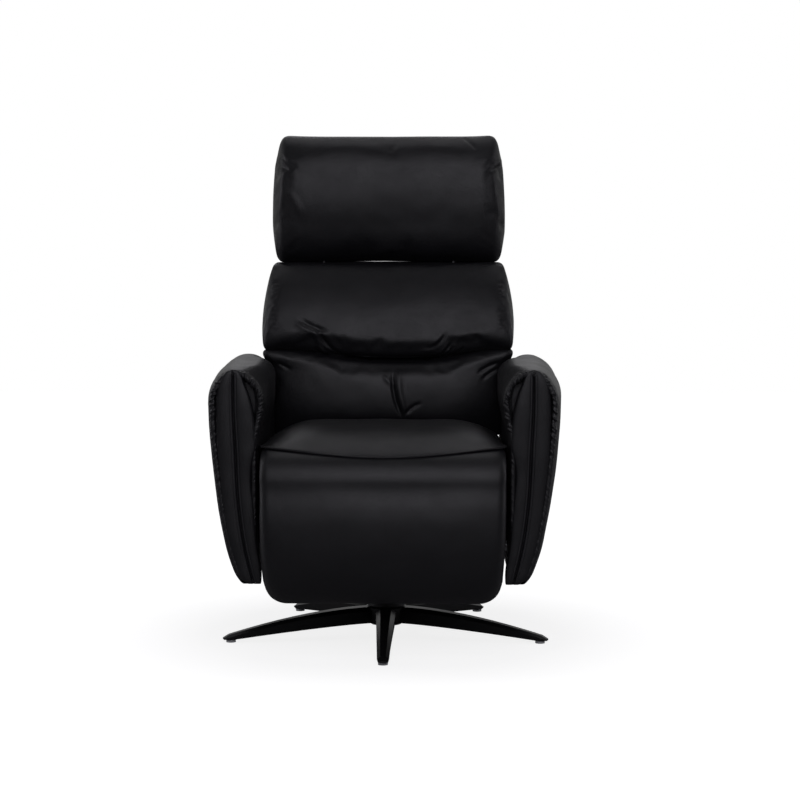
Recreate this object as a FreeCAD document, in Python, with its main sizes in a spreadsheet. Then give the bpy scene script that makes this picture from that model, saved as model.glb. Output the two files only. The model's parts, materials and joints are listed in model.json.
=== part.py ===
import FreeCAD, Part
import math
import os
import Sketcher

# A swivel recliner on a five-leg star base. Millimetres, +Z up, the sitter faces -Y and the
# origin is on the floor under the swivel axis. Left and right are the sitter's, so left is +X.

Vector = FreeCAD.Vector
doc = FreeCAD.newDocument("swivel_recliner")
sheet = doc.addObject("Spreadsheet::Sheet", "sizes")
finished = []


# Sizes: each is written once and can be used as a number or inside an expression
class Measure:
    """A length, angle or ratio that knows its number and the expression that gives it."""

    def __init__(self, number, text):
        self.number = number
        self.text = text

    def __add__(self, other):
        other = measure(other)
        return Measure(self.number + other.number, f"({self.text} + {other.text})")

    def __sub__(self, other):
        other = measure(other)
        return Measure(self.number - other.number, f"({self.text} - {other.text})")

    def __mul__(self, other):
        other = measure(other)
        return Measure(self.number * other.number, f"({self.text} * {other.text})")

    def __truediv__(self, other):
        other = measure(other)
        return Measure(self.number / other.number, f"({self.text} / {other.text})")

    def __neg__(self):
        return Measure(-self.number, f"(0 - {self.text})")

    def __radd__(self, other):
        return measure(other) + self

    def __rsub__(self, other):
        return measure(other) - self

    def __rmul__(self, other):
        return measure(other) * self

    def __float__(self):
        return float(self.number)


def measure(value):
    """The value as a Measure, so that plain numbers mix with named sizes."""
    if isinstance(value, Measure):
        return value
    return Measure(float(value), f"{value:.6f}" if value >= 0 else f"(0 - {-value:.6f})")


def size(name, number):
    """Writes one driving dimension into the sheet under its own name."""
    row = len(size.names) + 1
    size.names.append(name)
    sheet.set(f"A{row}", name)
    sheet.set(f"B{row}", str(number))
    sheet.setAlias(f"B{row}", name)
    return Measure(float(number), f"sizes.{name}")


size.names = []


def sine(angle):
    return Measure(math.sin(math.radians(float(angle))), f"sin({measure(angle).text})")


def cosine(angle):
    return Measure(math.cos(math.radians(float(angle))), f"cos({measure(angle).text})")


# Star base and column
leg_count = 5
leg_reach = size("leg_reach", 375)
leg_root_top = size("leg_root_top", 64)
leg_tip_top = size("leg_tip_top", 17.5)
leg_root_under = size("leg_root_under", 28.5)
leg_root_width = size("leg_root_width", 45)
leg_tip_width = size("leg_tip_width", 26)
leg_bevel = size("leg_bevel", 9)
hub_radius = size("hub_radius", 46)
hub_bore = size("hub_bore", 26)
glide_radius = size("glide_radius", 10.5)
glide_inset = size("glide_inset", 17)
glide_height = size("glide_height", 5)
column_radius = size("column_radius", 30)
column_top = size("column_top", 168)
spindle_radius = size("spindle_radius", 15)
spindle_height = size("spindle_height", 30)
washer_thickness = size("washer_thickness", 3)
running_gap = size("running_gap", 0.3)
pin_clearance = size("pin_clearance", 0.05)
fit_gap = size("fit_gap", 0.3)

# Seat frame
plate_inner = size("plate_inner", 234)
plate_thickness = size("plate_thickness", 6)
frame_floor = size("frame_floor", 178)
swivel_thickness = size("swivel_thickness", 6)
member_height = size("member_height", 25)
member_width = size("member_width", 40)
member_place = size("member_place", 80)
member_wall = size("member_wall", 2)
seat_top_of_rails = size("seat_top_of_rails", 378)
rail_thickness = size("rail_thickness", 22)

# Hinges
recline_y = size("recline_y", 200)
recline_z = size("recline_z", 400)
legrest_y = size("legrest_y", -335)
legrest_z = size("legrest_z", 385)
headrest_y = size("headrest_y", 296)
headrest_z = size("headrest_z", 840)
pin_radius = size("pin_radius", 6)
eye_radius = size("eye_radius", 20)
recline_travel = size("recline_travel", 40)
legrest_travel = size("legrest_travel", 75)

# Upholstery
seat_half = size("seat_half", 252)
seat_crown = size("seat_crown", 491)
seat_under = size("seat_under", 389)
seat_rear = size("seat_rear", 125)
knuckle_radius = size("knuckle_radius", 68)
lip_radius = size("lip_radius", 81)
legrest_half = size("legrest_half", 255)
legrest_bottom = size("legrest_bottom", 127)
lumbar_half = size("lumbar_half", 251)
back_half = size("back_half", 287)
back_seam = size("back_seam", 613)
back_top = size("back_top", 829)
headrest_half = size("headrest_half", 267)
headrest_bottom = size("headrest_bottom", 830.5)
overall_height = size("overall_height", 1122)
arm_inner = size("arm_inner", 262)
arm_outer = size("arm_outer", 387)
arm_top = size("arm_top", 634)
arm_fall = size("arm_fall", 14)
back_clearance_radius = size("back_clearance_radius", 220)
arm_bottom = size("arm_bottom", 165)
arm_front = size("arm_front", -329)
arm_panel_depth = size("arm_panel_depth", 18)
arm_frame_inner = size("arm_frame_inner", 285)
arm_frame_thickness = size("arm_frame_thickness", 18)

# Drives
drive_side = size("drive_side", 60)
rod_radius = size("rod_radius", 9)
housing_radius = size("housing_radius", 18)
crank_thickness = size("crank_thickness", 8)
crank_pin_radius = size("crank_pin_radius", 5)
legrest_crank_drop = size("legrest_crank_drop", 42)
recline_crank_drop = size("recline_crank_drop", 75)
legrest_slot_half = size("legrest_slot_half", 7.5)
recline_slot_half = size("recline_slot_half", 6)

# Buttons
button_radius = size("button_radius", 6.5)
button_pitch = size("button_pitch", 22)
button_y = size("button_y", -20)
button_z = size("button_z", 500)


# Drawing helpers
def bind(target, path, amount):
    """Ties one property of an object to the sizes it comes from."""
    target.setExpression(path, measure(amount).text)


def finish(thing):
    """Marks an object as one of the pieces that are written out."""
    finished.append(thing)
    return thing


def block(name, low, high):
    """A box from its lowest to its highest corner."""
    box = doc.addObject("Part::Box", name)
    for side, start, end in zip(("Length", "Width", "Height"), low, high):
        bind(box, side, measure(end) - start)
    for axis, start in zip("xyz", low):
        bind(box, f"Placement.Base.{axis}", start)
    return box


TURNS = {"x": (Vector(0, 1, 0), 90), "y": (Vector(1, 0, 0), -90), "z": (Vector(0, 0, 1), 0)}


def bar(name, radius, start, length, along):
    """A round bar that runs from start in the positive direction of one axis."""
    cylinder = doc.addObject("Part::Cylinder", name)
    cylinder.Placement = FreeCAD.Placement(Vector(), FreeCAD.Rotation(*TURNS[along]))
    bind(cylinder, "Radius", radius)
    bind(cylinder, "Height", length)
    for axis, value in zip("xyz", start):
        bind(cylinder, f"Placement.Base.{axis}", value)
    return cylinder


def join(name, members):
    union = doc.addObject("Part::MultiFuse", name)
    union.Shapes = members
    return union


def gather(name, members):
    """Separate identical pieces that share one node."""
    group = doc.addObject("Part::Compound", name)
    group.Links = members
    return group


def carve(name, base, tools):
    cut = doc.addObject("Part::Cut", name)
    cut.Base = base
    cut.Tool = tools[0] if len(tools) == 1 else join(name + "_tools", tools)
    return cut


def sketch_on(body, name, plane, offset=0):
    """An empty sketch on one of the body's own origin planes."""
    support = [item for item in body.Origin.OriginFeatures if item.Role == plane][0]
    sketch = body.newObject("Sketcher::SketchObject", name)
    sketch.AttachmentSupport = (support, [""])
    sketch.MapMode = "FlatFace"
    bind(sketch, "AttachmentOffset.Base.z", offset)
    return sketch


def hold(sketch, kind, *where):
    """Adds one dimension to a sketch and ties it to its sizes."""
    amount = measure(where[-1])
    number = sketch.addConstraint(Sketcher.Constraint(kind, *where[:-1], amount.number))
    sketch.setExpression(f"Constraints[{number}]", amount.text)


def draw_corners(sketch, corners):
    """A closed outline of straight sides, each corner held from the sketch's origin."""
    points = [Vector(float(u), float(v), 0) for u, v in corners]
    count = len(points)
    first = sketch.GeometryCount
    for index in range(count):
        side = Part.LineSegment(points[index], points[(index + 1) % count])
        sketch.addGeometry(side, False)
    for index in range(count):
        following = first + (index + 1) % count
        sketch.addConstraint(Sketcher.Constraint("Coincident", first + index, 2, following, 1))
    for index, (u, v) in enumerate(corners):
        hold(sketch, "DistanceX", -1, 1, first + index, 1, u)
        hold(sketch, "DistanceY", -1, 1, first + index, 1, v)


def draw_circles(sketch, circles):
    for u, v, radius in circles:
        circle = Part.Circle(Vector(float(u), float(v), 0), Vector(0, 0, 1), float(radius))
        index = sketch.addGeometry(circle, False)
        hold(sketch, "DistanceX", -1, 1, index, 3, u)
        hold(sketch, "DistanceY", -1, 1, index, 3, v)
        hold(sketch, "Radius", index, radius)


def padded(body, sketch, depth):
    pad = body.newObject("PartDesign::Pad", "pad")
    pad.Profile = sketch
    bind(pad, "Length", depth)
    return pad


def plate(name, plane, start, depth, corners, eyes=(), holes=()):
    """A flat plate with round eyes added to its outline and round holes through it."""
    body = doc.addObject("PartDesign::Body", name)
    outline = sketch_on(body, "outline", plane, start)
    draw_corners(outline, corners)
    padded(body, outline, depth)
    for eye in eyes:
        ring = sketch_on(body, "eye", plane, start)
        draw_circles(ring, [eye])
        padded(body, ring, depth)
    if holes:
        drilled = sketch_on(body, "holes", plane, start)
        draw_circles(drilled, holes)
        pocket = body.newObject("PartDesign::Pocket", "drilled")
        pocket.Profile = drilled
        pocket.Reversed = True
        bind(pocket, "Length", depth)
    return body


def turned(name, profile):
    """A piece turned about the swivel axis from its (radius, height) outline."""
    body = doc.addObject("PartDesign::Body", name)
    sketch = sketch_on(body, "half_section", "XZ_Plane")
    draw_corners(sketch, profile)
    turn = body.newObject("PartDesign::Revolution", "turn")
    turn.Profile = sketch
    turn.ReferenceAxis = (sketch, ["V_Axis"])
    turn.Angle = 360
    return body


def side_start(sign, inner, thickness):
    """Where a plate's pad starts along X, for the left (+1) or the right (-1) side."""
    return inner if sign > 0 else -(inner + thickness)


SIDES = (("left", 1), ("right", -1))


# Soft forms: lofts through sections of lines and arcs
def loop_through(corners, place):
    """A closed wire; each corner (u, v, radius) is rounded by a tangent arc, or sharp at 0."""
    edges = []
    count = len(corners)
    starts = []
    for index in range(count):
        before = Vector(*corners[index - 1][:2], 0)
        here = Vector(*corners[index][:2], 0)
        after = Vector(*corners[(index + 1) % count][:2], 0)
        towards = (before - here).normalize()
        away = (after - here).normalize()
        half = towards.getAngle(away) / 2
        radius = corners[index][2]
        if not radius:
            starts.append((here, here, here))
            continue
        reach = radius / math.tan(half)
        centre = here + (towards + away).normalize() * (radius / math.sin(half))
        middle = centre + (here - centre).normalize() * radius
        starts.append((here + towards * reach, middle, here + away * reach))
    for index in range(count):
        first, middle, last = starts[index]
        following = starts[(index + 1) % count][0]
        if corners[index][2] > 0:
            edges.append(Part.Arc(place(first), place(middle), place(last)).toShape())
        edges.append(Part.LineSegment(place(last), place(following)).toShape())
    return Part.Wire(edges)


def path_loop(start, steps, place):
    """A closed wire: a step is a point to draw a line to, or an arc's middle and end."""
    edges = []
    here = Vector(*start, 0)
    for step in steps:
        there = Vector(*step[-2:], 0)
        if len(step) == 4:
            middle = Vector(*step[:2], 0)
            edges.append(Part.Arc(place(here), place(middle), place(there)).toShape())
        else:
            edges.append(Part.LineSegment(place(here), place(there)).toShape())
        here = there
    return Part.Wire(edges)


def across(x):
    """Puts a section drawn in (y, z) at one distance from the middle."""
    return lambda point: Vector(x, point.x, point.y)


def along(y):
    """Puts a section drawn in (x, z) at one depth."""
    return lambda point: Vector(point.x, y, point.y)


def level(z):
    """Puts a section drawn in (x, y) at one height."""
    return lambda point: Vector(point.x, point.y, z)


def soft(name, shape):
    feature = doc.addObject("Part::Feature", name)
    feature.Shape = shape
    return feature


def lofted(wires):
    return Part.makeLoft(wires, True, True)


# Star base: a turned hub with five lofted legs
def leg_section(body, radius, top, under, width, flat, bevel):
    sketch = sketch_on(body, "section", "XZ_Plane", radius)
    half = width / 2
    draw_corners(
        sketch,
        [
            (-(half - 2), under),
            (half - 2, under),
            (half, top - bevel),
            (flat, top),
            (-flat, top),
            (-half, top - bevel),
        ],
    )
    return sketch


def star_base():
    under = glide_height + fit_gap
    body = turned(
        "star_base",
        [
            (hub_bore, leg_root_under - 2.5),
            (hub_radius - 6, leg_root_under - 2.5),
            (hub_radius, leg_root_under + 4),
            (hub_radius, leg_root_top - 2),
            (hub_radius - 4, leg_root_top + 2),
            (hub_bore, leg_root_top + 2),
        ],
    )
    length = leg_reach - hub_radius - 13
    sections = []
    for share in (0, 0.15, 0.35, 0.55, 0.75, 0.93, 1.0):
        fall = share ** 1.7
        rise = share ** 1.35
        sections.append(
            leg_section(
                body,
                hub_radius + length * share if share else hub_bore + 1,
                leg_root_top - (leg_root_top - leg_tip_top) * fall,
                leg_root_under - (leg_root_under - under) * rise,
                leg_root_width - (leg_root_width - leg_tip_width) * share,
                leg_root_width * 0.28 - (leg_root_width * 0.28 - leg_tip_width * 0.23) * share,
                leg_bevel - leg_bevel * 0.45 * share,
            )
        )
    leg = body.newObject("PartDesign::AdditiveLoft", "leg")
    leg.Profile = sections[0]
    leg.Sections = sections[1:]
    tip_start = leg_section(
        body, hub_radius + length, leg_tip_top, under, leg_tip_width, leg_tip_width * 0.23, leg_bevel * 0.55
    )
    tip_end = leg_section(
        body, leg_reach, under + 5, under + 1, leg_tip_width * 0.62, leg_tip_width * 0.2, leg_bevel * 0.2
    )
    tip = body.newObject("PartDesign::AdditiveLoft", "leg_tip")
    tip.Profile = tip_start
    tip.Sections = [tip_end]
    socket_sketch = sketch_on(body, "glide_socket", "XY_Plane", under)
    draw_circles(socket_sketch, [(0, -(leg_reach - glide_inset), glide_radius * 0.4)])
    socket = body.newObject("PartDesign::Pocket", "glide_socket_cut")
    socket.Profile = socket_sketch
    socket.Reversed = True
    bind(socket, "Length", 6)
    pattern = body.newObject("PartDesign::PolarPattern", "five_legs")
    pattern.Originals = [leg, tip, socket]
    axis = [item for item in body.Origin.OriginFeatures if item.Role == "Z_Axis"][0]
    pattern.Axis = (axis, [""])
    pattern.Angle = 360
    pattern.Occurrences = leg_count
    body.Tip = pattern
    finish(body)


def foot_glides():
    glides = []
    reach = leg_reach - glide_inset
    for index in range(leg_count):
        angle = index * 360 / leg_count - 90
        x = reach * math.cos(math.radians(angle))
        y = reach * math.sin(math.radians(angle))
        disc = bar("glide_disc", glide_radius, (x, y, 0), glide_height, "z")
        peg = bar("glide_peg", glide_radius * 0.4 - fit_gap, (x, y, glide_height - 1), 6, "z")
        glides.append(join("glide", [disc, peg]))
    finish(gather("foot_glides", glides))


def base_column():
    hub_top = leg_root_top + 2
    body = turned(
        "base_column",
        [
            (6.2, leg_root_under + 1.5),
            (hub_bore - 0.1, leg_root_under + 1.5),
            (hub_bore - 0.1, hub_top),
            (hub_radius - 4, hub_top),
            (hub_radius - 4, hub_top + 8),
            (column_radius, hub_top + 8),
            (column_radius, column_top),
            (spindle_radius, column_top),
            (spindle_radius, column_top + spindle_height),
            (8, column_top + spindle_height),
            (8, column_top + spindle_height + 14),
            (0, column_top + spindle_height + 14),
            (0, leg_root_under + 34),
            (6.2, leg_root_under + 31),
        ],
    )
    finish(body)
    screw = turned(
        "column_bolt",
        [
            (0, 12),
            (9, 12),
            (9, leg_root_under - 5.5),
            (hub_bore + 8, leg_root_under - 5.5),
            (hub_bore + 8, leg_root_under - 2.5),
            (6, leg_root_under - 2.5),
            (6, leg_root_under + 30),
            (0, leg_root_under + 30),
        ],
    )
    finish(screw)


def swivel_bearing():
    seat = column_top + washer_thickness
    washer = turned(
        "thrust_washer",
        [
            (spindle_radius + 0.3, column_top),
            (column_radius - 1, column_top),
            (column_radius - 1, seat),
            (spindle_radius + 0.3, seat),
        ],
    )
    finish(washer)
    inner = spindle_radius + pin_clearance
    outer = inner + 4
    top = column_top + spindle_height - 1
    bush = turned(
        "swivel_bush",
        [
            (inner, seat + running_gap),
            (column_radius, seat + running_gap),
            (column_radius, frame_floor - 2),
            (outer, frame_floor - 2),
            (outer, top),
            (inner, top),
        ],
    )
    finish(bush)
    nut_washer = bar("nut_washer", 24, (0, 0, column_top + spindle_height), 3, "z")
    nut = doc.addObject("Part::Prism", "hex_nut")
    nut.Polygon = 6
    nut.Circumradius = 13
    nut.Height = 8
    bind(nut, "Placement.Base.z", column_top + spindle_height + 3)
    stud = bar("stud_bore", 8.1, (0, 0, column_top + spindle_height - 1), 20, "z")
    finish(carve("spindle_nut", join("nut_and_washer", [nut_washer, nut]), [stud]))


def swivel_plate():
    bore = spindle_radius + pin_clearance + 4 + 0.05
    low = frame_floor - 2
    deck = block("swivel_deck", (-150, -120, low), (150, 120, frame_floor + swivel_thickness))
    hollow = block("swivel_fold", (-144, -114, low - 1), (144, 114, frame_floor))
    boss = bar("swivel_boss", 34, (0, 0, low), 20, "z")
    pan = carve("swivel_pan", deck, [hollow])
    hole = bar("swivel_bore", bore, (0, 0, low - 5), 40, "z")
    finish(carve("swivel_plate", join("pan_and_boss", [pan, boss]), [hole]))


# Seat frame
def cross_members():
    low = frame_floor + swivel_thickness
    for name, middle in (("cross_member_front", -member_place), ("cross_member_rear", member_place)):
        near = middle - member_width / 2
        far = middle + member_width / 2
        tube = block(name + "_tube", (-plate_inner, near, low), (plate_inner, far, low + member_height))
        bore = block(
            name + "_bore",
            (-plate_inner - 1, near + member_wall, low + member_wall),
            (plate_inner + 1, far - member_wall, low + member_height - member_wall),
        )
        finish(carve(name, tube, [bore]))
    stay = bar("front_stay", 11, (-plate_inner, -262, 236), plate_inner * 2, "x")
    bore = bar("front_stay_bore", 9, (-plate_inner - 1, -262, 236), plate_inner * 2 + 2, "x")
    finish(carve("front_cross_tube", stay, [bore]))


ARM_BOLTS = ((-225, 232), (-60, 292), (125, 232))


def side_plates():
    for side, sign in SIDES:
        start = side_start(sign, plate_inner, plate_thickness)
        corners = [
            (legrest_y - 5, legrest_z - 19),
            (-276, frame_floor + 4),
            (214, frame_floor + 4),
            (214, 262),
            (196, 330),
            (recline_y + 14, recline_z - 14),
            (recline_y - 19, recline_z - 6),
            (150, seat_top_of_rails - 4),
            (-250, seat_top_of_rails - 4),
            (-264, seat_top_of_rails - 6),
            (legrest_y + 19, legrest_z - 5),
        ]
        eyes = [(legrest_y, legrest_z, eye_radius), (recline_y, recline_z, eye_radius)]
        holes = [(legrest_y, legrest_z, pin_radius), (recline_y, recline_z, pin_radius)]
        holes += [(y, z, 4.5) for y, z in ARM_BOLTS]
        holes += [(y, 305, 32) for y in (-150, 40)]
        name = f"side_plate_{side}"
        finish(plate(name, "YZ_Plane", start, plate_thickness, corners, eyes, holes))


def seat_rails():
    top = seat_top_of_rails
    outer = plate_inner - fit_gap
    inner = outer - rail_thickness - 6
    sides = []
    for sign in (1, -1):
        low = inner if sign > 0 else -outer
        high = outer if sign > 0 else -inner
        sides.append(block("side_rail", (low, -254, 332), (high, 150, top)))
    finish(gather("seat_side_rails", sides))
    finish(block("seat_front_rail", (-inner, -254, top - 18), (inner, -232, top)))
    finish(block("seat_rear_rail", (-inner, 128, top - 26), (inner, 150, top)))


def seat_suspension():
    top = seat_top_of_rails
    straps = [block("strap", (x - 24, -250, top), (x + 24, 148, top + 3)) for x in (-150, -75, 0, 75, 150)]
    finish(gather("seat_webbing", straps))
    low = top + 3
    finish(block("spring_cover", (-225, -250, low), (225, seat_rear, seat_under - fit_gap)))


def seat_section(x, drop, back_off):
    """The seat seen from its side: flat below, hollowed over the legrest's knuckle."""
    hinge = Vector(float(legrest_y), float(legrest_z), 0)
    under = float(seat_under)
    rear = float(seat_rear)
    crown = float(seat_crown) - drop
    lip = 46 + back_off

    def on_lip(angle):
        turn = math.radians(180 - angle)
        reach = float(lip_radius)
        return (hinge.x + reach * math.cos(turn), hinge.y + reach * math.sin(turn))

    rest = math.asin((under - hinge.y) / float(lip_radius))
    rear_of_lip = (hinge.x + float(lip_radius) * math.cos(rest), under)
    nose = on_lip(lip)
    rise = crown - 6 - nose[1]
    bulge = rise / 8
    shoulder = (hinge.x + 55, crown - 3)
    steps = [
        rear_of_lip,
        (*on_lip(100), *nose),
        (nose[0] - bulge, nose[1] + rise * 0.25, nose[0] + bulge, nose[1] + rise * 0.6),
        (nose[0] + 40, crown - 7, *shoulder),
        ((shoulder[0] + rear - 40) / 2, crown + 1, rear - 40, crown - 6),
        (rear - 10, crown - 12, rear, crown - 30),
        (rear, under),
    ]
    return path_loop((rear, under), steps, across(x))


def seat_cushion():
    half = float(seat_half)
    wires = []
    for share, drop, back_off in (
        (-1, 15, 8),
        (-0.93, 7, 4),
        (-0.5, 0, 0),
        (0.5, 0, 0),
        (0.93, 7, 4),
        (1, 15, 8),
    ):
        wires.append(seat_section(half * share, drop, back_off))
    finish(soft("seat_cushion", lofted(wires)))


# Arms
def arm_height_at(y):
    """The arm's top falls a little to the rear and stays under the path of the reclining back."""
    arm_middle = 21
    share = min((y - float(arm_front)) / (arm_middle - float(arm_front)), 1)
    top = float(arm_top) - float(arm_fall) * share
    swing = float(back_clearance_radius)
    behind = max(y - float(recline_y), 0)
    return min(top, float(recline_z) + math.sqrt(swing ** 2 - behind ** 2) - 2 - behind * 0.09)


def arm_section(sign, y, shrink, lift):
    top = arm_height_at(y) - shrink * 0.25
    bottom = float(arm_bottom) + lift
    inner = float(arm_inner) + shrink * 0.12
    outer = float(arm_outer) - shrink
    width = outer - inner
    corners = [
        (sign * inner, bottom, 0),
        (sign * inner, top, 0.36 * width),
        (sign * (outer - 0.29 * width), top, 0.3 * width),
        (sign * (outer + 2), top - 118, 150),
        (sign * (outer - 24), bottom + 110, 200),
        (sign * (outer - 55), bottom, 22),
    ]
    return loop_through(corners, along(y))


def arm_frame_outline(gap):
    """The board inside an arm, grown by a gap where it is the hollow that holds the board."""
    front = arm_front + 32 - gap
    return [
        (front + 12, arm_bottom + 40 - gap),
        (front, arm_top - 78 + gap),
        (250 + gap, arm_top - 78 + gap),
        (236 + gap, arm_bottom + 40 - gap),
    ]


def arms():
    stations = (
        (0, 25, 3),
        (10, 20, 0),
        (89, 14, 0),
        (229, 3, 0),
        (329, 0, 0),
        (569, 5, 4),
        (634, 11, 14),
        (659, 22, 24),
    )
    bolts = []
    spacers = []
    for side, sign in SIDES:
        start = side_start(sign, arm_frame_inner, arm_frame_thickness)
        holes = [(y, z, 4.3) for y, z in ARM_BOLTS]
        name = f"arm_frame_{side}"
        board = plate(name, "YZ_Plane", start, arm_frame_thickness, arm_frame_outline(0), (), holes)
        finish(board)
        cavity_start = side_start(sign, arm_frame_inner - fit_gap, arm_frame_thickness + fit_gap * 2)
        cavity = plate(
            f"arm_hollow_{side}",
            "YZ_Plane",
            cavity_start,
            arm_frame_thickness + fit_gap * 2,
            arm_frame_outline(fit_gap),
        )
        wires = []
        for distance, shrink, lift in stations:
            wires.append(arm_section(sign, float(arm_front) + distance, shrink, lift))
        tools = [cavity]
        for y, z in ARM_BOLTS:
            inner = plate_inner + plate_thickness
            low = inner if sign > 0 else -arm_frame_inner
            gap = arm_frame_inner - inner
            tools.append(bar("spacer_way", 11.4, (low, y, z), gap, "x"))
            tube = bar("spacer_tube", 11, (low, y, z), gap, "x")
            bore = bar("spacer_bore", 4.6, (low, y, z), gap, "x")
            spacers.append(carve("spacer", tube, [bore]))
            head = plate_inner - 6 if sign > 0 else -plate_inner
            shank = plate_inner - 1 if sign > 0 else -(arm_frame_inner + 14)
            reach = arm_frame_inner + 14 - plate_inner + 1
            head_piece = bar("bolt_head", 8, (head, y, z), 6, "x")
            shank_piece = bar("bolt_shank", 4, (shank, y, z), reach, "x")
            bolts.append(join("bolt", [head_piece, shank_piece]))
        if sign < 0:
            tools.append(switch_hollow())
        pad = soft(f"arm_padding_{side}", lofted(wires))
        finish(carve(f"arm_pad_{side}", pad, tools))
        finish(arm_front_panel(side, sign))
    finish(gather("arm_bolts", bolts))
    finish(gather("arm_spacers", spacers))


def arm_front_panel(side, sign):
    """The leaf-shaped stitched panel on the front of an arm."""
    wires = []
    front = float(arm_front)
    for depth, inset in ((-0.4, 3), (-6, 0), (-float(arm_panel_depth) + 5, 2), (-float(arm_panel_depth), 9)):
        inner = float(arm_inner) + inset
        outer = float(arm_outer) - 36 - inset
        top = float(arm_top) - 16 - inset
        bottom = float(arm_bottom) - 1 + inset
        corners = [
            (sign * (inner - 8), bottom, 0),
            (sign * (inner + 16), 400, 60),
            (sign * inner, 470, 60),
            (sign * inner, top, 0.44 * (outer - inner)),
            (sign * outer, top, 0.44 * (outer - inner)),
            (sign * (outer - 3), 430, 240),
            (sign * (outer - 24), 240, 160),
            (sign * (outer - 56), bottom, 12),
        ]
        wires.append(loop_through(corners, along(front + depth)))
    return soft(f"arm_front_panel_{side}", lofted(wires))


# Switch panel on the outer side of the right arm
def switch_face():
    return -(arm_outer - 4)


def switch_hollow():
    face = switch_face()
    low = (face - 8, button_y - 52 - fit_gap, button_z - 19 - fit_gap)
    high = (face + 3, button_y + 52 + fit_gap, button_z + 19 + fit_gap)
    flange = block("flange_way", low, high)
    body_low = (face, button_y - 46 - fit_gap, button_z - 14 - fit_gap)
    body_high = (face + 20 + fit_gap, button_y + 46 + fit_gap, button_z + 14 + fit_gap)
    return join("switch_way", [flange, block("body_way", body_low, body_high)])


def switches():
    face = switch_face()
    flange_low = (face, button_y - 52, button_z - 19)
    flange = block("flange", flange_low, (face + 2.7, button_y + 52, button_z + 19))
    body_low = (face, button_y - 46, button_z - 14)
    body = block("switch_body", body_low, (face + 20, button_y + 46, button_z + 14))
    names = ("legrest_out", "legrest_in", "back_down", "back_up")
    wells = []
    for index, name in enumerate(names):
        y = button_y + button_pitch * (index - 1.5)
        wells.append(bar("button_well", button_radius + 0.1, (face - 1, y, button_z), 13, "x"))
        cap = bar(f"button_{name}", button_radius, (face - 2, y, button_z), 11.5, "x")
        finish(cap)
    finish(carve("switch_housing", join("switch_case", [flange, body]), wells))


# Drives: each pushes a pin along a straight line in the slot of a crank
def clevis(name, side_x, pin_y, pin_z, towards, tail):
    """A rod with a forked end and a cross pin; the fork opens away from its housing."""
    low = side_x - 15
    depth = 40 * towards
    start = pin_y - 10 * towards
    far = pin_y + depth
    near_y, far_y = (start, far) if towards > 0 else (far, start)
    fork = block(name + "_fork", (low, near_y, pin_z - 11), (low + 30, far_y, pin_z + 11))
    slot_near, slot_far = (pin_y - 12, pin_y + 30) if towards > 0 else (pin_y - 30, pin_y + 12)
    slot = block(name + "_gap", (side_x - 9, slot_near, pin_z - 12), (side_x + 9, slot_far, pin_z + 12))
    yoke = carve(name + "_yoke", fork, [slot])
    pin = bar(name + "_pin", crank_pin_radius, (side_x - 17, pin_y, pin_z), 34, "x")
    length = tail - 39
    rod_start = far - 1 if towards > 0 else far + 1 - length
    rod = bar(name + "_bar", rod_radius, (side_x, rod_start, pin_z), length, "y")
    finish(join(name, [yoke, pin, rod]))


def drive(name, side_x, z, mouth, back, motor_low, motor_y):
    """A drive: a tube that guides the rod, a gearbox behind it and a motor that hangs below."""
    near, far = (mouth, back) if float(back) > float(mouth) else (back, mouth)
    tube = bar(name + "_tube", housing_radius, (side_x, near, z), far - near, "y")
    box_near = back if float(back) > float(mouth) else back - 56
    gearbox = block(name + "_gearbox", (side_x - 30, box_near, z - 28), (side_x + 30, box_near + 56, z + 24))
    motor = bar(name + "_motor", 21, (side_x, motor_y, motor_low), z - 27 - motor_low, "z")
    bore_near = near - 1 if float(back) > float(mouth) else near + 8
    bore = bar(name + "_bore", rod_radius + 0.08, (side_x, bore_near, z), far - near - 7, "y")
    finish(carve(name, join(name + "_case", [tube, gearbox, motor]), [bore]))


def drives():
    floor = frame_floor + swivel_thickness + member_height
    half = legrest_travel / 2
    legrest_line = legrest_z - legrest_crank_drop
    pin_y = legrest_y + legrest_crank_drop * sine(half) / cosine(half)
    clevis("legrest_rod", -drive_side, pin_y, legrest_line, 1, 205)
    drive("legrest_actuator", -drive_side, legrest_line, -200, -10, 222, 18)
    half = recline_travel / 2
    recline_line = recline_z - recline_crank_drop
    pin_y = recline_y + recline_crank_drop * sine(half) / cosine(half)
    clevis("recline_rod", drive_side, pin_y, recline_line, -1, 170)
    drive("recline_actuator", drive_side, recline_line, 128, -16, 214, -44)
    holders = []
    for name, x, y, line in (
        ("front", -drive_side, -member_place, legrest_line),
        ("rear", drive_side, member_place, recline_line),
    ):
        post = block(name + "_post", (x - 24, y - 4, floor), (x + 24, y + 4, line + 10))
        way = bar(name + "_way", housing_radius + 0.1, (x, y - 5, line), 10, "y")
        foot = block(name + "_foot", (x - 24, y - 18, floor), (x + 24, y + 18, floor + 4))
        holders.append(carve(name + "_holder", join(name + "_bracket", [post, foot]), [way]))
    finish(gather("actuator_brackets", holders))
    finish(block("battery_box", (plate_inner - 134, -96, floor), (plate_inner - 19, 20, floor + 52)))


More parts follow.
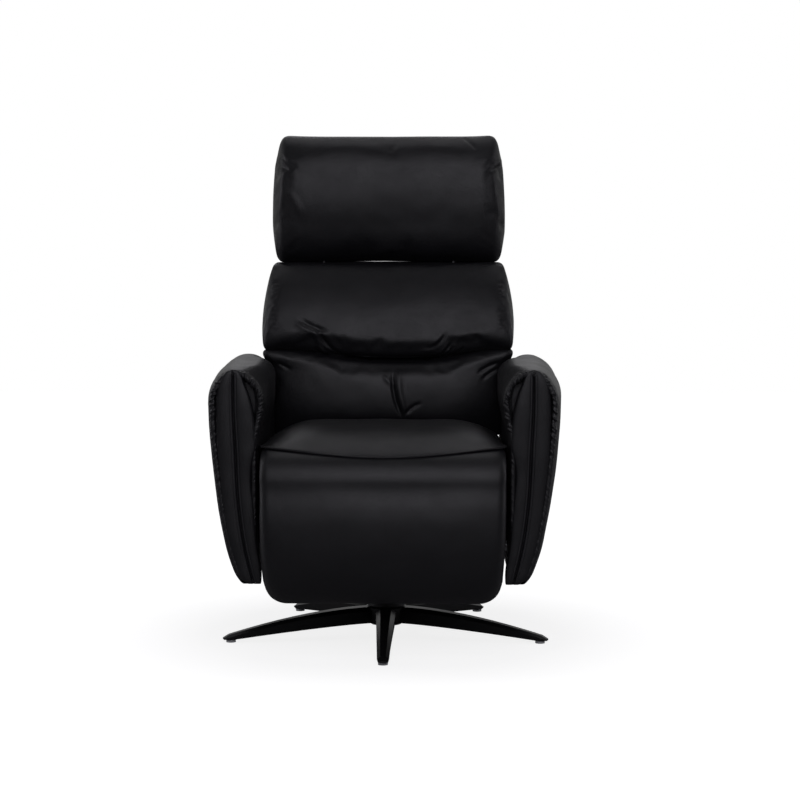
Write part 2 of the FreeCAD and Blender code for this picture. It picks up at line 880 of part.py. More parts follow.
def crank(name, side_x, corners, slot_near, slot_far, slot_half, direction, hinge):
    """A crank plate with a slot that runs along its arm, straight away from the hinge."""
    start = side_x - crank_thickness / 2
    body = plate(name, "YZ_Plane", start, crank_thickness, corners)
    sketch = sketch_on(body, "slot", "YZ_Plane", start)
    along_y, along_z = direction
    across_y, across_z = -along_z, along_y
    corners = []
    for reach, shift in ((slot_near, -1), (slot_far, -1), (slot_far, 1), (slot_near, 1)):
        corners.append(
            (
                hinge[0] + along_y * reach + across_y * slot_half * shift,
                hinge[1] + along_z * reach + across_z * slot_half * shift,
            )
        )
    draw_corners(sketch, corners)
    pocket = body.newObject("PartDesign::Pocket", "slot_cut")
    pocket.Profile = sketch
    pocket.Reversed = True
    bind(pocket, "Length", crank_thickness)
    finish(body)


# Legrest
def legrest():
    board_rear = legrest_y - 3
    board_front = board_rear - 12
    finish(block("legrest_board", (-232, board_front, 160), (232, board_rear, legrest_z - 33)))
    for side, sign in SIDES:
        start = side_start(sign, plate_inner - 8, 6)
        corners = [
            (board_rear, 180),
            (board_rear + 20, 180),
            (legrest_y + 16, legrest_z - 6),
            (legrest_y - 3, legrest_z - 16),
            (board_rear, legrest_z - 33),
        ]
        eyes = [(legrest_y, legrest_z, eye_radius - 2)]
        holes = [(legrest_y, legrest_z, pin_radius)]
        finish(plate(f"legrest_bracket_{side}", "YZ_Plane", start, 6, corners, eyes, holes))
    half = legrest_travel / 2
    direction = (sine(half), -cosine(half))
    normal = (cosine(half), sine(half))

    def on_crank(reach, shift):
        y = legrest_y + direction[0] * reach + normal[0] * shift
        z = legrest_z + direction[1] * reach + normal[1] * shift
        return (y, z)

    corners = [
        (board_rear, legrest_z - 34),
        (board_rear, legrest_z - 90),
        on_crank(74, -17),
        on_crank(74, 16),
        on_crank(24, 16),
    ]
    longest = legrest_crank_drop / cosine(half)
    hinge = (legrest_y, legrest_z)
    near = legrest_crank_drop - crank_pin_radius - 3
    far = longest + crank_pin_radius + 3
    crank("legrest_crank", -drive_side, corners, near, far, legrest_slot_half, direction, hinge)
    finish(soft("legrest_cushion", legrest_form()))


def legrest_form():
    hinge_y = float(legrest_y)
    hinge_z = float(legrest_z)
    back = hinge_y - 15.3
    inner = 26.0

    def polar(radius, angle):
        turn = math.radians(180 - angle)
        return (hinge_y + radius * math.cos(turn), hinge_z + radius * math.sin(turn))

    def section(x, inset, bottom):
        outer = float(knuckle_radius) - inset
        low_angle = -math.degrees(math.acos((hinge_y - back) / inner))
        steps = [
            (*polar(outer, 48), *polar(outer, 0)),
            (hinge_y - outer, hinge_z - 50),
            (hinge_y - outer - 9, (hinge_z + bottom) / 2 + 20, hinge_y - outer + 2, bottom + 64),
            (hinge_y - outer + 10, bottom + 16, back - 14, bottom),
            (back, bottom),
            polar(inner, low_angle),
            (*polar(inner, 22), *polar(inner, 97)),
            polar(outer, 97),
        ]
        return path_loop(polar(outer, 97), steps, across(x))

    half = float(legrest_half)
    bottom = float(legrest_bottom)
    wires = []
    for share, inset, lift in (
        (-1, 12, 100),
        (-0.96, 4, 46),
        (-0.78, 0, 4),
        (0.78, 0, 4),
        (0.96, 4, 46),
        (1, 12, 100),
    ):
        wires.append(section(half * share, inset, bottom + lift))
    return lofted(wires)


# Back
def lean(z):
    """Where the plane behind the back's cushions lies at one height."""
    return 238 + max(z - 440, 0) * 42 / 385


def back_frame():
    for side, sign in SIDES:
        start = side_start(sign, plate_inner - 8, 6)
        corners = [
            (recline_y - 14, recline_z - 14),
            (recline_y + 14, recline_z - 14),
            (lean(440) + 34, 420),
            (lean(620) + 36, 620),
            (lean(825) + 36, 825),
            (lean(825), 825),
            (lean(620), 620),
            (lean(440), 440),
            (recline_y + 10, recline_z + 17),
            (recline_y - 14, recline_z + 14),
        ]
        eyes = [(recline_y, recline_z, eye_radius)]
        holes = [(recline_y, recline_z, pin_radius)]
        finish(plate(f"back_side_{side}", "YZ_Plane", start, 6, corners, eyes, holes))
    edge = plate_inner - 8
    finish(block("back_lower_rail", (-edge, 244, 444), (edge, 272, 466)))
    finish(block("back_upper_rail", (-edge, 288, 786), (edge, 312, 806)))
    straps = []
    for z in (500, 570, 640, 710):
        near = lean(z + 25) + 4.5
        straps.append(block("back_strap", (-edge, near, z), (edge, near + 3, z + 50)))
    finish(gather("back_straps", straps))
    half = recline_travel / 2
    direction = (sine(half), -cosine(half))
    normal = (cosine(half), sine(half))

    def on_crank(reach, shift):
        y = recline_y + direction[0] * reach + normal[0] * shift
        z = recline_z + direction[1] * reach + normal[1] * shift
        return (y, z)

    corners = [
        (246, 444),
        on_crank(58, -13),
        on_crank(98, -13),
        on_crank(98, 13),
        (272, 444),
    ]
    longest = recline_crank_drop / cosine(half)
    near = recline_crank_drop - crank_pin_radius - 2
    far = longest + crank_pin_radius + 2
    hinge = (recline_y, recline_z)
    crank("recline_crank", drive_side, corners, near, far, recline_slot_half, direction, hinge)


def crowned_section(half, front, rear, z, setback=26, corner=14):
    """A cushion cut level: bowed front, drawn-in sides and a flat rear."""
    corners = [
        (-half, rear, 0),
        (-half, front + setback, corner),
        (-half * 0.74, front + 3, 60),
        (half * 0.74, front + 3, 60),
        (half, front + setback, corner),
        (half, rear, 0),
    ]
    return loop_through(corners, level(z))


def back_cushions():
    seam = float(back_seam)
    narrow = float(lumbar_half)
    wide = float(back_half)
    wires = []
    for z, half, front in (
        (444, narrow - 14, 154),
        (458, narrow - 4, 140),
        (520, narrow, 131),
        (580, narrow + 1, 137),
        (seam - 9, narrow + 10, 148),
        (seam - 0.3, narrow + 17, 158),
    ):
        wires.append(crowned_section(half, front, lean(440) - 0.5, z))
    finish(soft("lumbar_cushion", lofted(wires)))
    wires = []
    top = float(back_top)
    for z, half, front in (
        (seam + 0.3, wide - 11, 160),
        (seam + 14, wide, 148),
        (seam + 70, wide - 3, 158),
        (seam + 130, wide - 9, 182),
        (top - 38, wide - 17, 214),
        (top - 16, wide - 24, 248),
        (top, wide - 34, 268),
    ):
        rear = lean(z) - 0.5
        depth = rear - front
        wires.append(crowned_section(half, front, rear, z, depth * 0.32, depth * 0.15))
    finish(soft("back_cushion", lofted(wires)))


def back_shell():
    """The upholstered tray behind the back: a rear panel with sides that come forward."""
    wall = 11

    def section(z, half, front, rear):
        turn = 34
        bend = turn * (1 - math.sqrt(0.5))
        steps = [
            (-half, rear - turn),
            (-half + bend, rear - bend, -half + turn, rear),
            (half - turn, rear),
            (half - bend, rear - bend, half, rear - turn),
            (half, front),
            (half - wall, front),
            (half - wall, rear - turn),
            (half - turn, rear - wall),
            (-half + turn, rear - wall),
            (-half + wall, rear - turn),
            (-half + wall, front),
            (-half, front),
        ]
        return path_loop((-half, front), steps, level(z))

    narrow = float(lumbar_half)
    wide = float(back_half)
    top = float(back_top) + 1
    wires = []
    for z, half, front, rear in (
        (330, narrow - 8, 262, 303),
        (500, narrow, lean(500), 320),
        (590, narrow + 2, lean(590), 334),
        (630, wide - 6, lean(630), 343),
        (top, wide - 32, lean(top), 399),
    ):
        wires.append(section(z, half, front, rear))
    tray = soft("back_tray", lofted(wires))
    cap_low = (-wide + 45, lean(top) + 2, top - 5)
    cap = block("tray_cap", cap_low, (wide - 45, 392, top))
    ways = [block("stem_way", (low, 280, top - 12), (low + 20, 312, top + 2)) for low in (-164, 144)]
    finish(carve("back_shell", join("tray_and_cap", [tray, cap]), ways))


# Headrest
def headrest():
    brackets = []
    levers = []
    pins = []
    for sign in (1, -1):
        low = 150 if sign > 0 else -154
        stem = block("bracket_stem", (low, headrest_y - 7, 806), (low + 4, headrest_y + 7, headrest_z))
        eye = bar("bracket_eye", 10, (low, headrest_y, headrest_z), 4, "x")
        bore = bar("bracket_bore", 4, (low - 1, headrest_y, headrest_z), 6, "x")
        brackets.append(carve("bracket", join("bracket_plate", [stem, eye]), [bore]))
        low = 155 if sign > 0 else -159
        arm = block("lever_arm", (low, headrest_y - 2, headrest_z), (low + 4, headrest_y + 12, 1000))
        eye = bar("lever_eye", 12, (low, headrest_y, headrest_z), 4, "x")
        bore = bar("lever_bore", 4, (low - 1, headrest_y, headrest_z), 6, "x")
        levers.append(carve("lever", join("lever_plate", [arm, eye]), [bore]))
        low = 147 if sign > 0 else -162
        shank = bar("pin_shank", 4 - pin_clearance, (low, headrest_y, headrest_z), 15, "x")
        caps = [bar("pin_cap", 7, (end, headrest_y, headrest_z), 3, "x") for end in (low, low + 12)]
        pins.append(join("headrest_pin", [shank] + caps))
    finish(gather("headrest_brackets", brackets))
    finish(gather("headrest_levers", levers))
    finish(gather("headrest_pins", pins))
    board = (headrest_y + 12, headrest_y + 24)
    finish(block("headrest_board", (-205, board[0], 872), (205, board[1], 1070)))
    hollow = block(
        "board_hollow",
        (-205 - fit_gap, board[0] - fit_gap, 872 - fit_gap),
        (205 + fit_gap, board[1] + fit_gap, 1070 + fit_gap),
    )
    tools = [hollow]
    for sign in (1, -1):
        low = 146 if sign > 0 else -164
        way_low = (low, headrest_y - 15, headrest_bottom - 2)
        tools.append(block("lever_way", way_low, (low + 18, headrest_y + 15, 856)))
        low = 155 if sign > 0 else -159
        lever_low = (low - fit_gap, headrest_y - 2 - fit_gap, 850)
        lever_high = (low + 4 + fit_gap, headrest_y + 12 + fit_gap, 1000 + fit_gap)
        tools.append(block("lever_slot", lever_low, lever_high))
    wires = []
    bottom = float(headrest_bottom)
    top = float(overall_height)
    half = float(headrest_half)
    for z, width, front, rear in (
        (bottom, half - 14, 299, 344),
        (bottom + 8, half - 11, 283, 352),
        (bottom + 15, half - 8, 263, 356),
        (bottom + 27, half - 1, 241, 361),
        (bottom + 75, half, 231, 369),
        (bottom + 165, half - 4, 231, 372),
        (top - 48, half - 8, 245, 363),
        (top - 14, half - 11, 268, 346),
        (top, half - 20, 290, 322),
    ):
        depth = rear - front
        corners = [
            (-width, rear - depth * 0.2, 0),
            (-width, front + depth * 0.22, depth * 0.12),
            (-width * 0.8, front + 2, 60),
            (width * 0.8, front + 2, 60),
            (width, front + depth * 0.22, depth * 0.12),
            (width, rear - depth * 0.2, 0),
            (width - 20, rear, 0),
            (-width + 20, rear, 0),
        ]
        wires.append(loop_through(corners, level(z)))
    pad = soft("headrest_padding", lofted(wires))
    finish(carve("headrest_cushion", pad, tools))


# Pins, rear panel and charging socket
def hinge_pins():
    pins = []
    for y, z in ((recline_y, recline_z), (legrest_y, legrest_z)):
        for sign in (1, -1):
            outer = plate_inner + plate_thickness + 3
            inner = plate_inner - 11
            start = inner if sign > 0 else -outer
            shank = bar("hinge_shank", pin_radius - pin_clearance, (start, y, z), outer - inner, "x")
            inner_cap = bar("hinge_cap", 10, (inner if sign > 0 else -(inner + 3), y, z), 3, "x")
            outer_cap = bar("hinge_cap", 10, (outer - 3 if sign > 0 else -outer, y, z), 3, "x")
            pins.append(join("hinge_pin", [shank, inner_cap, outer_cap]))
    finish(gather("hinge_pins", pins))


def rear_panel():
    near = 214
    panel = block("valance_panel", (-250, near, arm_bottom + 3), (250, near + 12, 262))
    x, z = -150, 206
    way = block("inlet_way", (x - 15.3, near - 1, z - 9.3), (x + 15.3, near + 13, z + 9.3))
    finish(carve("rear_valance", panel, [way]))
    flange = block("inlet_flange", (x - 20, near + 12, z - 13), (x + 20, near + 15, z + 13))
    body = block("inlet_body", (x - 15, near - 12, z - 9), (x + 15, near + 13, z + 9))
    well = block("inlet_well", (x - 12, near + 3, z - 6), (x + 12, near + 16, z + 6))
    case = carve("inlet_case", join("inlet_shell", [flange, body]), [well])
    pins = [bar("inlet_pin", 1.5, (x + shift, near + 2, z), 10, "y") for shift in (-8, 8)]
    finish(join("charging_inlet", [case] + pins))


star_base()
foot_glides()
base_column()
swivel_bearing()
swivel_plate()
cross_members()
side_plates()
seat_rails()
seat_suspension()
seat_cushion()
arms()
switches()
drives()
legrest()
back_frame()
back_cushions()
back_shell()
headrest()
hinge_pins()
rear_panel()
doc.recompute()

faults = [item.Label for item in doc.Objects if {"Invalid", "Error"} & set(item.State)]
for piece in finished:
    if piece.Shape.isNull() or not piece.Shape.isValid() or not piece.Shape.Solids:
        faults.append(f"{piece.Name}: no valid solid")
if faults:
    raise RuntimeError(f"these did not build: {faults}")

os.makedirs("parts", exist_ok=True)
for piece in finished:
    piece.Shape.exportStep(f"parts/{piece.Label}.step")
print(len(finished), "pieces")
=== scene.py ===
# %% [markdown]
# # A leather swivel recliner, finished piece by piece
#
# The construction of this chair is already there: every frame part, hinge and drive sits at its
# real size and place. This lesson gives it its looks. The leather pads are moulded, blown up a
# little as cloth, sewn and creased; the metal gets its coatings; then the studio is lit.

# %% Load the construction
import json
import math

import bpy
import numpy as np
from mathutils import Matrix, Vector, noise

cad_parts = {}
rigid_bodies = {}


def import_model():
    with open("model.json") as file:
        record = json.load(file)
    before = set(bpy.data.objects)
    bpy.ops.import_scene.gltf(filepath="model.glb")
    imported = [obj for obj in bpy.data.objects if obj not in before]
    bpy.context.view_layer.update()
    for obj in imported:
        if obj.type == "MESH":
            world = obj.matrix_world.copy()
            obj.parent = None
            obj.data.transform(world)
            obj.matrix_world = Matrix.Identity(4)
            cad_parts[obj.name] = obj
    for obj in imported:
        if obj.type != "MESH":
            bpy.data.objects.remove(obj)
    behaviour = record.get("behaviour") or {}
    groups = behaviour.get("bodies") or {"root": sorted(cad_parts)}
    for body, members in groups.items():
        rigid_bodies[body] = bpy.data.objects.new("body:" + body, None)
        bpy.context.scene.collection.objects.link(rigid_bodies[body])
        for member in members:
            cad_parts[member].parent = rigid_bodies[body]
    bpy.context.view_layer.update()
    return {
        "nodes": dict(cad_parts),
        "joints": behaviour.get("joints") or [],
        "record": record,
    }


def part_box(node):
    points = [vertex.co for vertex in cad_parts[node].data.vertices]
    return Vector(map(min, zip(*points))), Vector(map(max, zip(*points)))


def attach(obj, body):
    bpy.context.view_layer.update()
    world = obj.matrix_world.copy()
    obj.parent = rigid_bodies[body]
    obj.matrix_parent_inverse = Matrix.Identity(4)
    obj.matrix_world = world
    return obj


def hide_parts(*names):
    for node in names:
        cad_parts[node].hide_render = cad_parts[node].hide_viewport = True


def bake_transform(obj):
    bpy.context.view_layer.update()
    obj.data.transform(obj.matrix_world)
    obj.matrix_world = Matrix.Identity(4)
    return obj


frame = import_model()
print("pieces in the frame:", len(frame["nodes"]))

# %% [markdown]
# Operators act on everything that is selected, and the loaded pieces are still selected. So the
# first helper selects one piece alone. The second starts a pad: a cube whose edges are cut into
# many small squares, one axis at a time, because a long pad needs more cuts along its length.


# %% Starting a piece
def alone(piece):
    """Selects one piece and nothing else."""
    bpy.ops.object.select_all(action="DESELECT")
    piece.select_set(True)
    bpy.context.view_layer.objects.active = piece
    return piece


def select_edges_along(piece, axis):
    """In edit mode, selects the edges that run along one axis."""
    bpy.ops.mesh.select_mode(type="EDGE")
    bpy.ops.mesh.select_all(action="DESELECT")
    bpy.ops.object.mode_set(mode="OBJECT")
    points = piece.data.vertices
    for edge in piece.data.edges:
        run = points[edge.vertices[0]].co - points[edge.vertices[1]].co
        edge.select = abs(run[axis]) > 0.99 * run.length
    bpy.ops.object.mode_set(mode="EDIT")


def cut_block(name, cuts, again=1):
    """A cube from -1 to 1, its edges cut into equal lengths; again cuts the y edges once more.

    One subdivision makes at most a hundred cuts, too few for a long strip.
    """
    bpy.ops.object.select_all(action="DESELECT")
    bpy.ops.mesh.primitive_cube_add(size=2)
    piece = bpy.context.object
    piece.name = name
    bpy.ops.object.mode_set(mode="EDIT")
    for axis, count in enumerate(cuts):
        select_edges_along(piece, axis)
        bpy.ops.mesh.subdivide(number_cuts=count)
    if again > 1:
        select_edges_along(piece, 1)
        bpy.ops.mesh.subdivide(number_cuts=again - 1)
    bpy.ops.object.mode_set(mode="OBJECT")
    return piece


# %% [markdown]
# A moulded shape is easiest to say as a rule: where does each point of the cube go? Blender keeps
# the points in one long list, and reading and writing that list at once is quick.


# %% Moving points by a rule
def read_points(piece):
    places = np.empty(len(piece.data.vertices) * 3)
    piece.data.vertices.foreach_get("co", places)
    return places.reshape(-1, 3)


def write_points(piece, places):
    piece.data.vertices.foreach_set("co", np.asarray(places, np.float32).ravel())
    piece.data.update()


def mould(name, cuts, rule):
    """A cut block whose points have gone where the rule puts them."""
    piece = cut_block(name, cuts)
    write_points(piece, rule(read_points(piece)))
    return piece


def read_normals(piece):
    ways = np.empty(len(piece.data.vertices) * 3)
    piece.data.vertex_normals.foreach_get("vector", ways)
    return ways.reshape(-1, 3)


def rounded(places, radii):
    """Rounds the cube's edges; the radii are shares of its half size along each axis."""
    radii = np.asarray(radii, float)
    inner = np.clip(places, -(1 - radii), 1 - radii)
    away = (places - inner) / radii
    reach = np.linalg.norm(away, axis=1, keepdims=True)
    return inner + radii * away / np.maximum(reach, 1e-9)


def ramp(value, low, high):
    """0 below low, 1 above high and an even rise between them."""
    share = np.clip((value - low) / (high - low), 0, 1)
    return share * share * (3 - 2 * share)


def through(places, sizes):
    """A smooth line through a few places and the size at each."""
    places = np.array(places, float)
    sizes = np.array(sizes, float)
    slopes = np.gradient(sizes, places)

    def read(at):
        at = np.clip(at, places[0], places[-1])
        index = np.clip(np.searchsorted(places, at) - 1, 0, len(places) - 2)
        width = places[index + 1] - places[index]
        share = (at - places[index]) / width
        rise = 3 * share**2 - 2 * share**3
        first = sizes[index] * (1 - rise) + sizes[index + 1] * rise
        start = slopes[index] * width * (share**3 - 2 * share**2 + share)
        return first + start + slopes[index + 1] * width * (share**3 - share**2)

    return read


def mix(first, last, share):
    return first + (last - first) * share


# %% [markdown]
# Leather over foam is never quite flat. Two tools shape it after moulding: a push of every point
# along its own normal, and a stroke, which says how near each point lies to a drawn line. Soft
# rolling noise gives the slight unevenness that makes a reflection look like hide.


# %% Creases and unevenness
def push(piece, amount):
    """Moves every point out along its normal, or in where the amount is negative."""
    write_points(piece, read_points(piece) + read_normals(piece) * amount[:, None])


def stroke(across, up, start, end, width, bend=0.0):
    """1 on a line from start to end, fading out beside it and towards its ends."""
    run = np.array(end, float) - np.array(start, float)
    length = float(np.hypot(*run))
    along = ((across - start[0]) * run[0] + (up - start[1]) * run[1]) / length**2
    off = ((across - start[0]) * run[1] - (up - start[1]) * run[0]) / length
    off = off + bend * 4 * np.clip(along, 0, 1) * (1 - np.clip(along, 0, 1))
    ends = ramp(along, -0.05, 0.3) * (1 - ramp(along, 0.65, 1.05))
    return np.exp(-((off / width) ** 2)) * ends


def rolling(places, size, seed):
    """Soft noise between about -1 and 1 whose lumps are about that size."""
    shift = Vector((seed * 7.1, seed * 3.3, seed * 5.7))
    return np.array([noise.noise(Vector(place) / size + shift) for place in places])


def face_of(piece, low, high):
    """The points with their x and z, and how far each one looks to the front."""
    places = read_points(piece)
    return places, places[:, 0], places[:, 2], ramp(-read_normals(piece)[:, 1], low, high)


# %% [markdown]
# A pad on a real chair is foam that presses its cover outwards. Blender's cloth solver does the
# same: the pad's mesh is rebuilt in even squares, put under pressure for twenty frames without
# gravity, and the movement is capped so that the pad keeps its place. The rebuilt mesh is then
# smoothed and divided once, which makes it fine enough for seams, and stretched back to its box,
# because a cover that is blown up also draws its edges in.


# %% Blowing up a pad
CLOTH_FRAMES = 20


def keep_box(piece, before):
    """Stretches a pad back to the box it was cut for, so that it still meets its neighbours."""
    places = read_points(piece)
    low, high = places.min(axis=0), places.max(axis=0)
    share = (places - low) / (high - low)
    write_points(piece, mix(before.min(axis=0), before.max(axis=0), share))


def swell(piece, voxel, most, pressure=4.0):
    """Presses a pad's cover outwards as cloth, by no more than the given distance."""
    alone(piece)
    piece.data.remesh_voxel_size = voxel
    bpy.ops.object.voxel_remesh()
    before = read_points(piece)
    scene = bpy.context.scene
    cloth = piece.modifiers.new("cover", "CLOTH")
    cloth.settings.quality = 4
    cloth.settings.use_pressure = True
    cloth.settings.uniform_pressure_force = pressure
    cloth.settings.effector_weights.gravity = 0
    cloth.settings.tension_stiffness = 40
    cloth.settings.compression_stiffness = 40
    cloth.settings.bending_stiffness = 1.5
    cloth.collision_settings.use_collision = False
    cloth.point_cache.frame_start = 1
    cloth.point_cache.frame_end = CLOTH_FRAMES
    for step in range(1, CLOTH_FRAMES + 1):
        scene.frame_set(step)
    bpy.ops.object.modifier_apply(modifier=cloth.name)
    scene.frame_set(1)
    moved = read_points(piece) - before
    far = np.linalg.norm(moved, axis=1, keepdims=True)
    kept = np.minimum(1, most / np.maximum(far, 1e-9))
    write_points(piece, before + moved * kept)
    print(piece.name, "swelled by up to", round(float(far.max()) * 1000, 1), "mm")
    smooth = piece.modifiers.new("even", "SMOOTH")
    smooth.factor = 0.5
    smooth.iterations = 3
    bpy.ops.object.modifier_apply(modifier=smooth.name)
    divide = piece.modifiers.new("fine", "SUBSURF")
    divide.levels = 1
    divide.render_levels = 1
    bpy.ops.object.modifier_apply(modifier=divide.name)
    keep_box(piece, before)


def shade(piece):
    alone(piece)
    bpy.ops.object.shade_smooth()


# %% [markdown]
# ## Leather
#
# The hide is a black, lightly sealed leather. Its body colour hardly shows: what the eye reads is
# the soft sheen. A fine pebbled grain comes from Voronoi cells about a millimetre across, broken
# up by noise, and a second, broader noise makes the polish vary from place to place.


# %% Leather
PEBBLES_PER_METRE = 820


def new_material(name, colour, roughness, metallic=0.0):
    """A material, its nodes, its shader and the point on the piece, for a pattern to follow."""
    made = bpy.data.materials.new(name)
    made.use_nodes = True
    shader = made.node_tree.nodes["Principled BSDF"]
    shader.inputs["Base Color"].default_value = (*colour, 1)
    shader.inputs["Roughness"].default_value = roughness
    shader.inputs["Metallic"].default_value = metallic
    made.diffuse_color = (*colour, 1)
    place = made.node_tree.nodes.new("ShaderNodeTexCoord").outputs["Object"]
    return made, made.node_tree, shader, place


def add_noise(tree, place, scale, detail=3.0, roughness=0.5):
    node = tree.nodes.new("ShaderNodeTexNoise")
    node.inputs["Scale"].default_value = scale
    node.inputs["Detail"].default_value = detail
    node.inputs["Roughness"].default_value = roughness
    tree.links.new(place, node.inputs["Vector"])
    return node.outputs["Fac"]


def map_range(tree, value, low, high, new_low, new_high):
    node = tree.nodes.new("ShaderNodeMapRange")
    for name, amount in (("From Min", low), ("From Max", high), ("To Min", new_low), ("To Max", new_high)):
        node.inputs[name].default_value = amount
    tree.links.new(value, node.inputs["Value"])
    return node.outputs["Result"]


def from_noise(tree, value, low, high):
    """Noise lies mostly between 0.3 and 0.7; this spreads it over the wanted range."""
    return map_range(tree, value, 0.3, 0.7, low, high)


def combine(tree, kind, first, second):
    node = tree.nodes.new("ShaderNodeMath")
    node.operation = kind
    for socket, value in zip(node.inputs, (first, second)):
        if isinstance(value, float):
            socket.default_value = value
        else:
            tree.links.new(value, socket)
    return node.outputs["Value"]


def add_bump(tree, shader, height, distance, strength=1.0):
    node = tree.nodes.new("ShaderNodeBump")
    node.inputs["Strength"].default_value = strength
    node.inputs["Distance"].default_value = distance
    tree.links.new(height, node.inputs["Height"])
    tree.links.new(node.outputs["Normal"], shader.inputs["Normal"])


def tint(tree, shader, value, dark, light):
    """Varies the body colour between two tones."""
    ramp_node = tree.nodes.new("ShaderNodeValToRGB")
    ramp_node.color_ramp.elements[0].color = (*dark, 1)
    ramp_node.color_ramp.elements[1].color = (*light, 1)
    tree.links.new(value, ramp_node.inputs["Fac"])
    tree.links.new(ramp_node.outputs["Color"], shader.inputs["Base Color"])


def make_leather(name, grain, dark, light):
    made, tree, shader, place = new_material(name, light, 0.45)
    cells = tree.nodes.new("ShaderNodeTexVoronoi")
    cells.feature = "DISTANCE_TO_EDGE"
    cells.inputs["Scale"].default_value = PEBBLES_PER_METRE
    cells.inputs["Randomness"].default_value = 0.95
    tree.links.new(place, cells.inputs["Vector"])
    pebble = map_range(tree, cells.outputs["Distance"], 0.0, 0.3, 0.0, 1.0)
    fine = add_noise(tree, place, 300, 4.0, 0.6)
    height = combine(tree, "MULTIPLY", pebble, from_noise(tree, fine, 0.35, 1.0))
    broad = add_noise(tree, place, 14, 3.0, 0.55)
    polish = from_noise(tree, broad, 0.35, 0.43)
    worn = combine(tree, "ADD", polish, map_range(tree, pebble, 0.0, 1.0, 0.05, 0.0))
    tree.links.new(worn, shader.inputs["Roughness"])
    tint(tree, shader, broad, dark, light)
    shader.inputs["Specular IOR Level"].default_value = 0.42
    add_bump(tree, shader, height, grain)
    return made


hide = make_leather("black_hide", 0.00011, (0.0055, 0.0054, 0.0066), (0.0085, 0.0083, 0.0102))
print("leather:", hide.name)

# %% [markdown]
# ## The seat's driving sizes
#
# Where a pad touches the construction, its size is read from there. The legrest turns about a
# hinge under the front of the seat, and its leather is wrapped round that hinge as a drum, so it
# slides under the seat's edge at any angle. What stands on the left also stands on the right, so
# the sides are a list too: the name of each, and the way it lies from the middle.

# %% Sizes from the frame
joints = {joint["name"]: joint for joint in frame["joints"]}
legrest_hinge = Vector(joints["legrest_swing"]["pos_m"])
recline_hinge = Vector(joints["back_recline"]["pos_m"])
seat_low, seat_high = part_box("seat_cushion")
pad_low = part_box("legrest_cushion")[0]
SIDES = (("left", 1), ("right", -1))
DRUM = 0.0695
SEAM_DIP = math.radians(47)
SEAM_END = math.radians(79)
print("legrest hinge at", tuple(round(value, 3) for value in legrest_hinge))


def seam_angle(side):
    """How far up the drum the front seam lies; side runs from -1 to 1 across the seat."""
    return mix(SEAM_DIP, SEAM_END, np.abs(side) ** 1.9)


def finish_pad(piece, body, node=None, lip=None):
    """Gives a moulded pad its leather and smooth shading, fixes it to its body and hides the solid it
    stands for, if one is given.

    A lip is two points; given one, the pad is only fixed in place and attached to no body, and the points
    themselves are not used.
    """
    piece.data.materials.clear()
    piece.data.materials.append(hide)
    shade(piece)
    if lip:
        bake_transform(piece)
    else:
        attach(piece, body)
    if node:
        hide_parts(node)
    print(piece.name, "faces:", len(piece.data.polygons))


# %% [markdown]
# ## Seat cushion
#
# The seat is one broad pad. Seen from the front its top is level in the middle and rolls off
# towards the arms, and its front edge is a sewn seam that dips in the middle like a smile. The
# rule below first follows the seam, then climbs quickly to the crown. Underneath, the pad keeps
# just clear of the legrest's drum.


# %% Seat cushion
SEAT_PAST_SOLID = 0.006
SEAM_PAST_DRUM = 0.002
DRUM_GAP = 0.0012
THINNEST = 0.0035
LEVEL_HALF = 0.115
crown_middle = through((0, 0.12, 0.35, 0.7, 1), (0.486, 0.489, 0.4915, 0.488, 0.474))


def seat_rule(places):
    u, v, w = rounded(places, (0.07, 0.03, 0.45)).T
    half = seat_high.x + SEAT_PAST_SOLID
    depth = (v + 1) / 2
    lift = (w + 1) / 2
    angle = seam_angle(u)
    front_y = legrest_hinge.y - (DRUM + SEAM_PAST_DRUM) * np.cos(angle)
    front_z = legrest_hinge.z + (DRUM + SEAM_PAST_DRUM) * np.sin(angle)
    y = mix(front_y, seat_high.y - 0.001, depth)
    edge = mix(0.4605, 0.437, depth)
    roll = np.clip((np.abs(u) * half - LEVEL_HALF) / (half - LEVEL_HALF), 0, 1) ** 2.4
    crown = mix(crown_middle(depth), edge, roll)
    climb = 1 - (1 - np.clip(depth / 0.34, 0, 1)) ** 3
    top = mix(front_z + THINNEST, crown, climb)
    away = y - legrest_hinge.y
    drum = np.sqrt(np.maximum((DRUM + DRUM_GAP) ** 2 - away**2, 0))
    under = np.maximum(legrest_hinge.z + drum, seat_low.z)
    under = np.where(away > DRUM, seat_low.z, under)
    z = mix(under, np.maximum(top, under + THINNEST), lift)
    return np.stack((u * half, y, z), axis=1)


seat = mould("seat_cushion_leather", (100, 100, 14), seat_rule)


# %% [markdown]
# The seat is too thin at its seam to be rebuilt in even squares, so it keeps its own grid, and
# the swelling is a push in its middle. A faint sag and two soft hollows show where people sit.
# The two points of the lip at the front seam are handed on, but the seat is only fixed in place: it is
# attached to no body and does not follow the legrest.


# %% Seat surface
LIP = ((0, -0.345, 0.455), (0, -0.437, 0.455))


def sit_in(piece):
    places = read_points(piece)
    top = ramp(read_normals(piece)[:, 2], 0.2, 0.8)
    x, y, z = places.T
    hollow = np.exp(-((np.abs(x) - 0.085) / 0.07) ** 2 - ((y + 0.05) / 0.16) ** 2)
    uneven = rolling(places, 0.11, 1) * 0.0022 + rolling(places, 0.035, 2) * 0.0005
    raised = stroke(x, y, (-0.24, 0.02), (-0.15, 0.06), 0.008)
    sunken = stroke(x, y, (0.24, 0.0), (0.16, 0.05), 0.008)
    push(piece, top * (uneven - 0.004 * hollow + 0.002 * (raised - sunken)))


sit_in(seat)
finish_pad(seat, "chassis", "seat_cushion", lip=LIP)

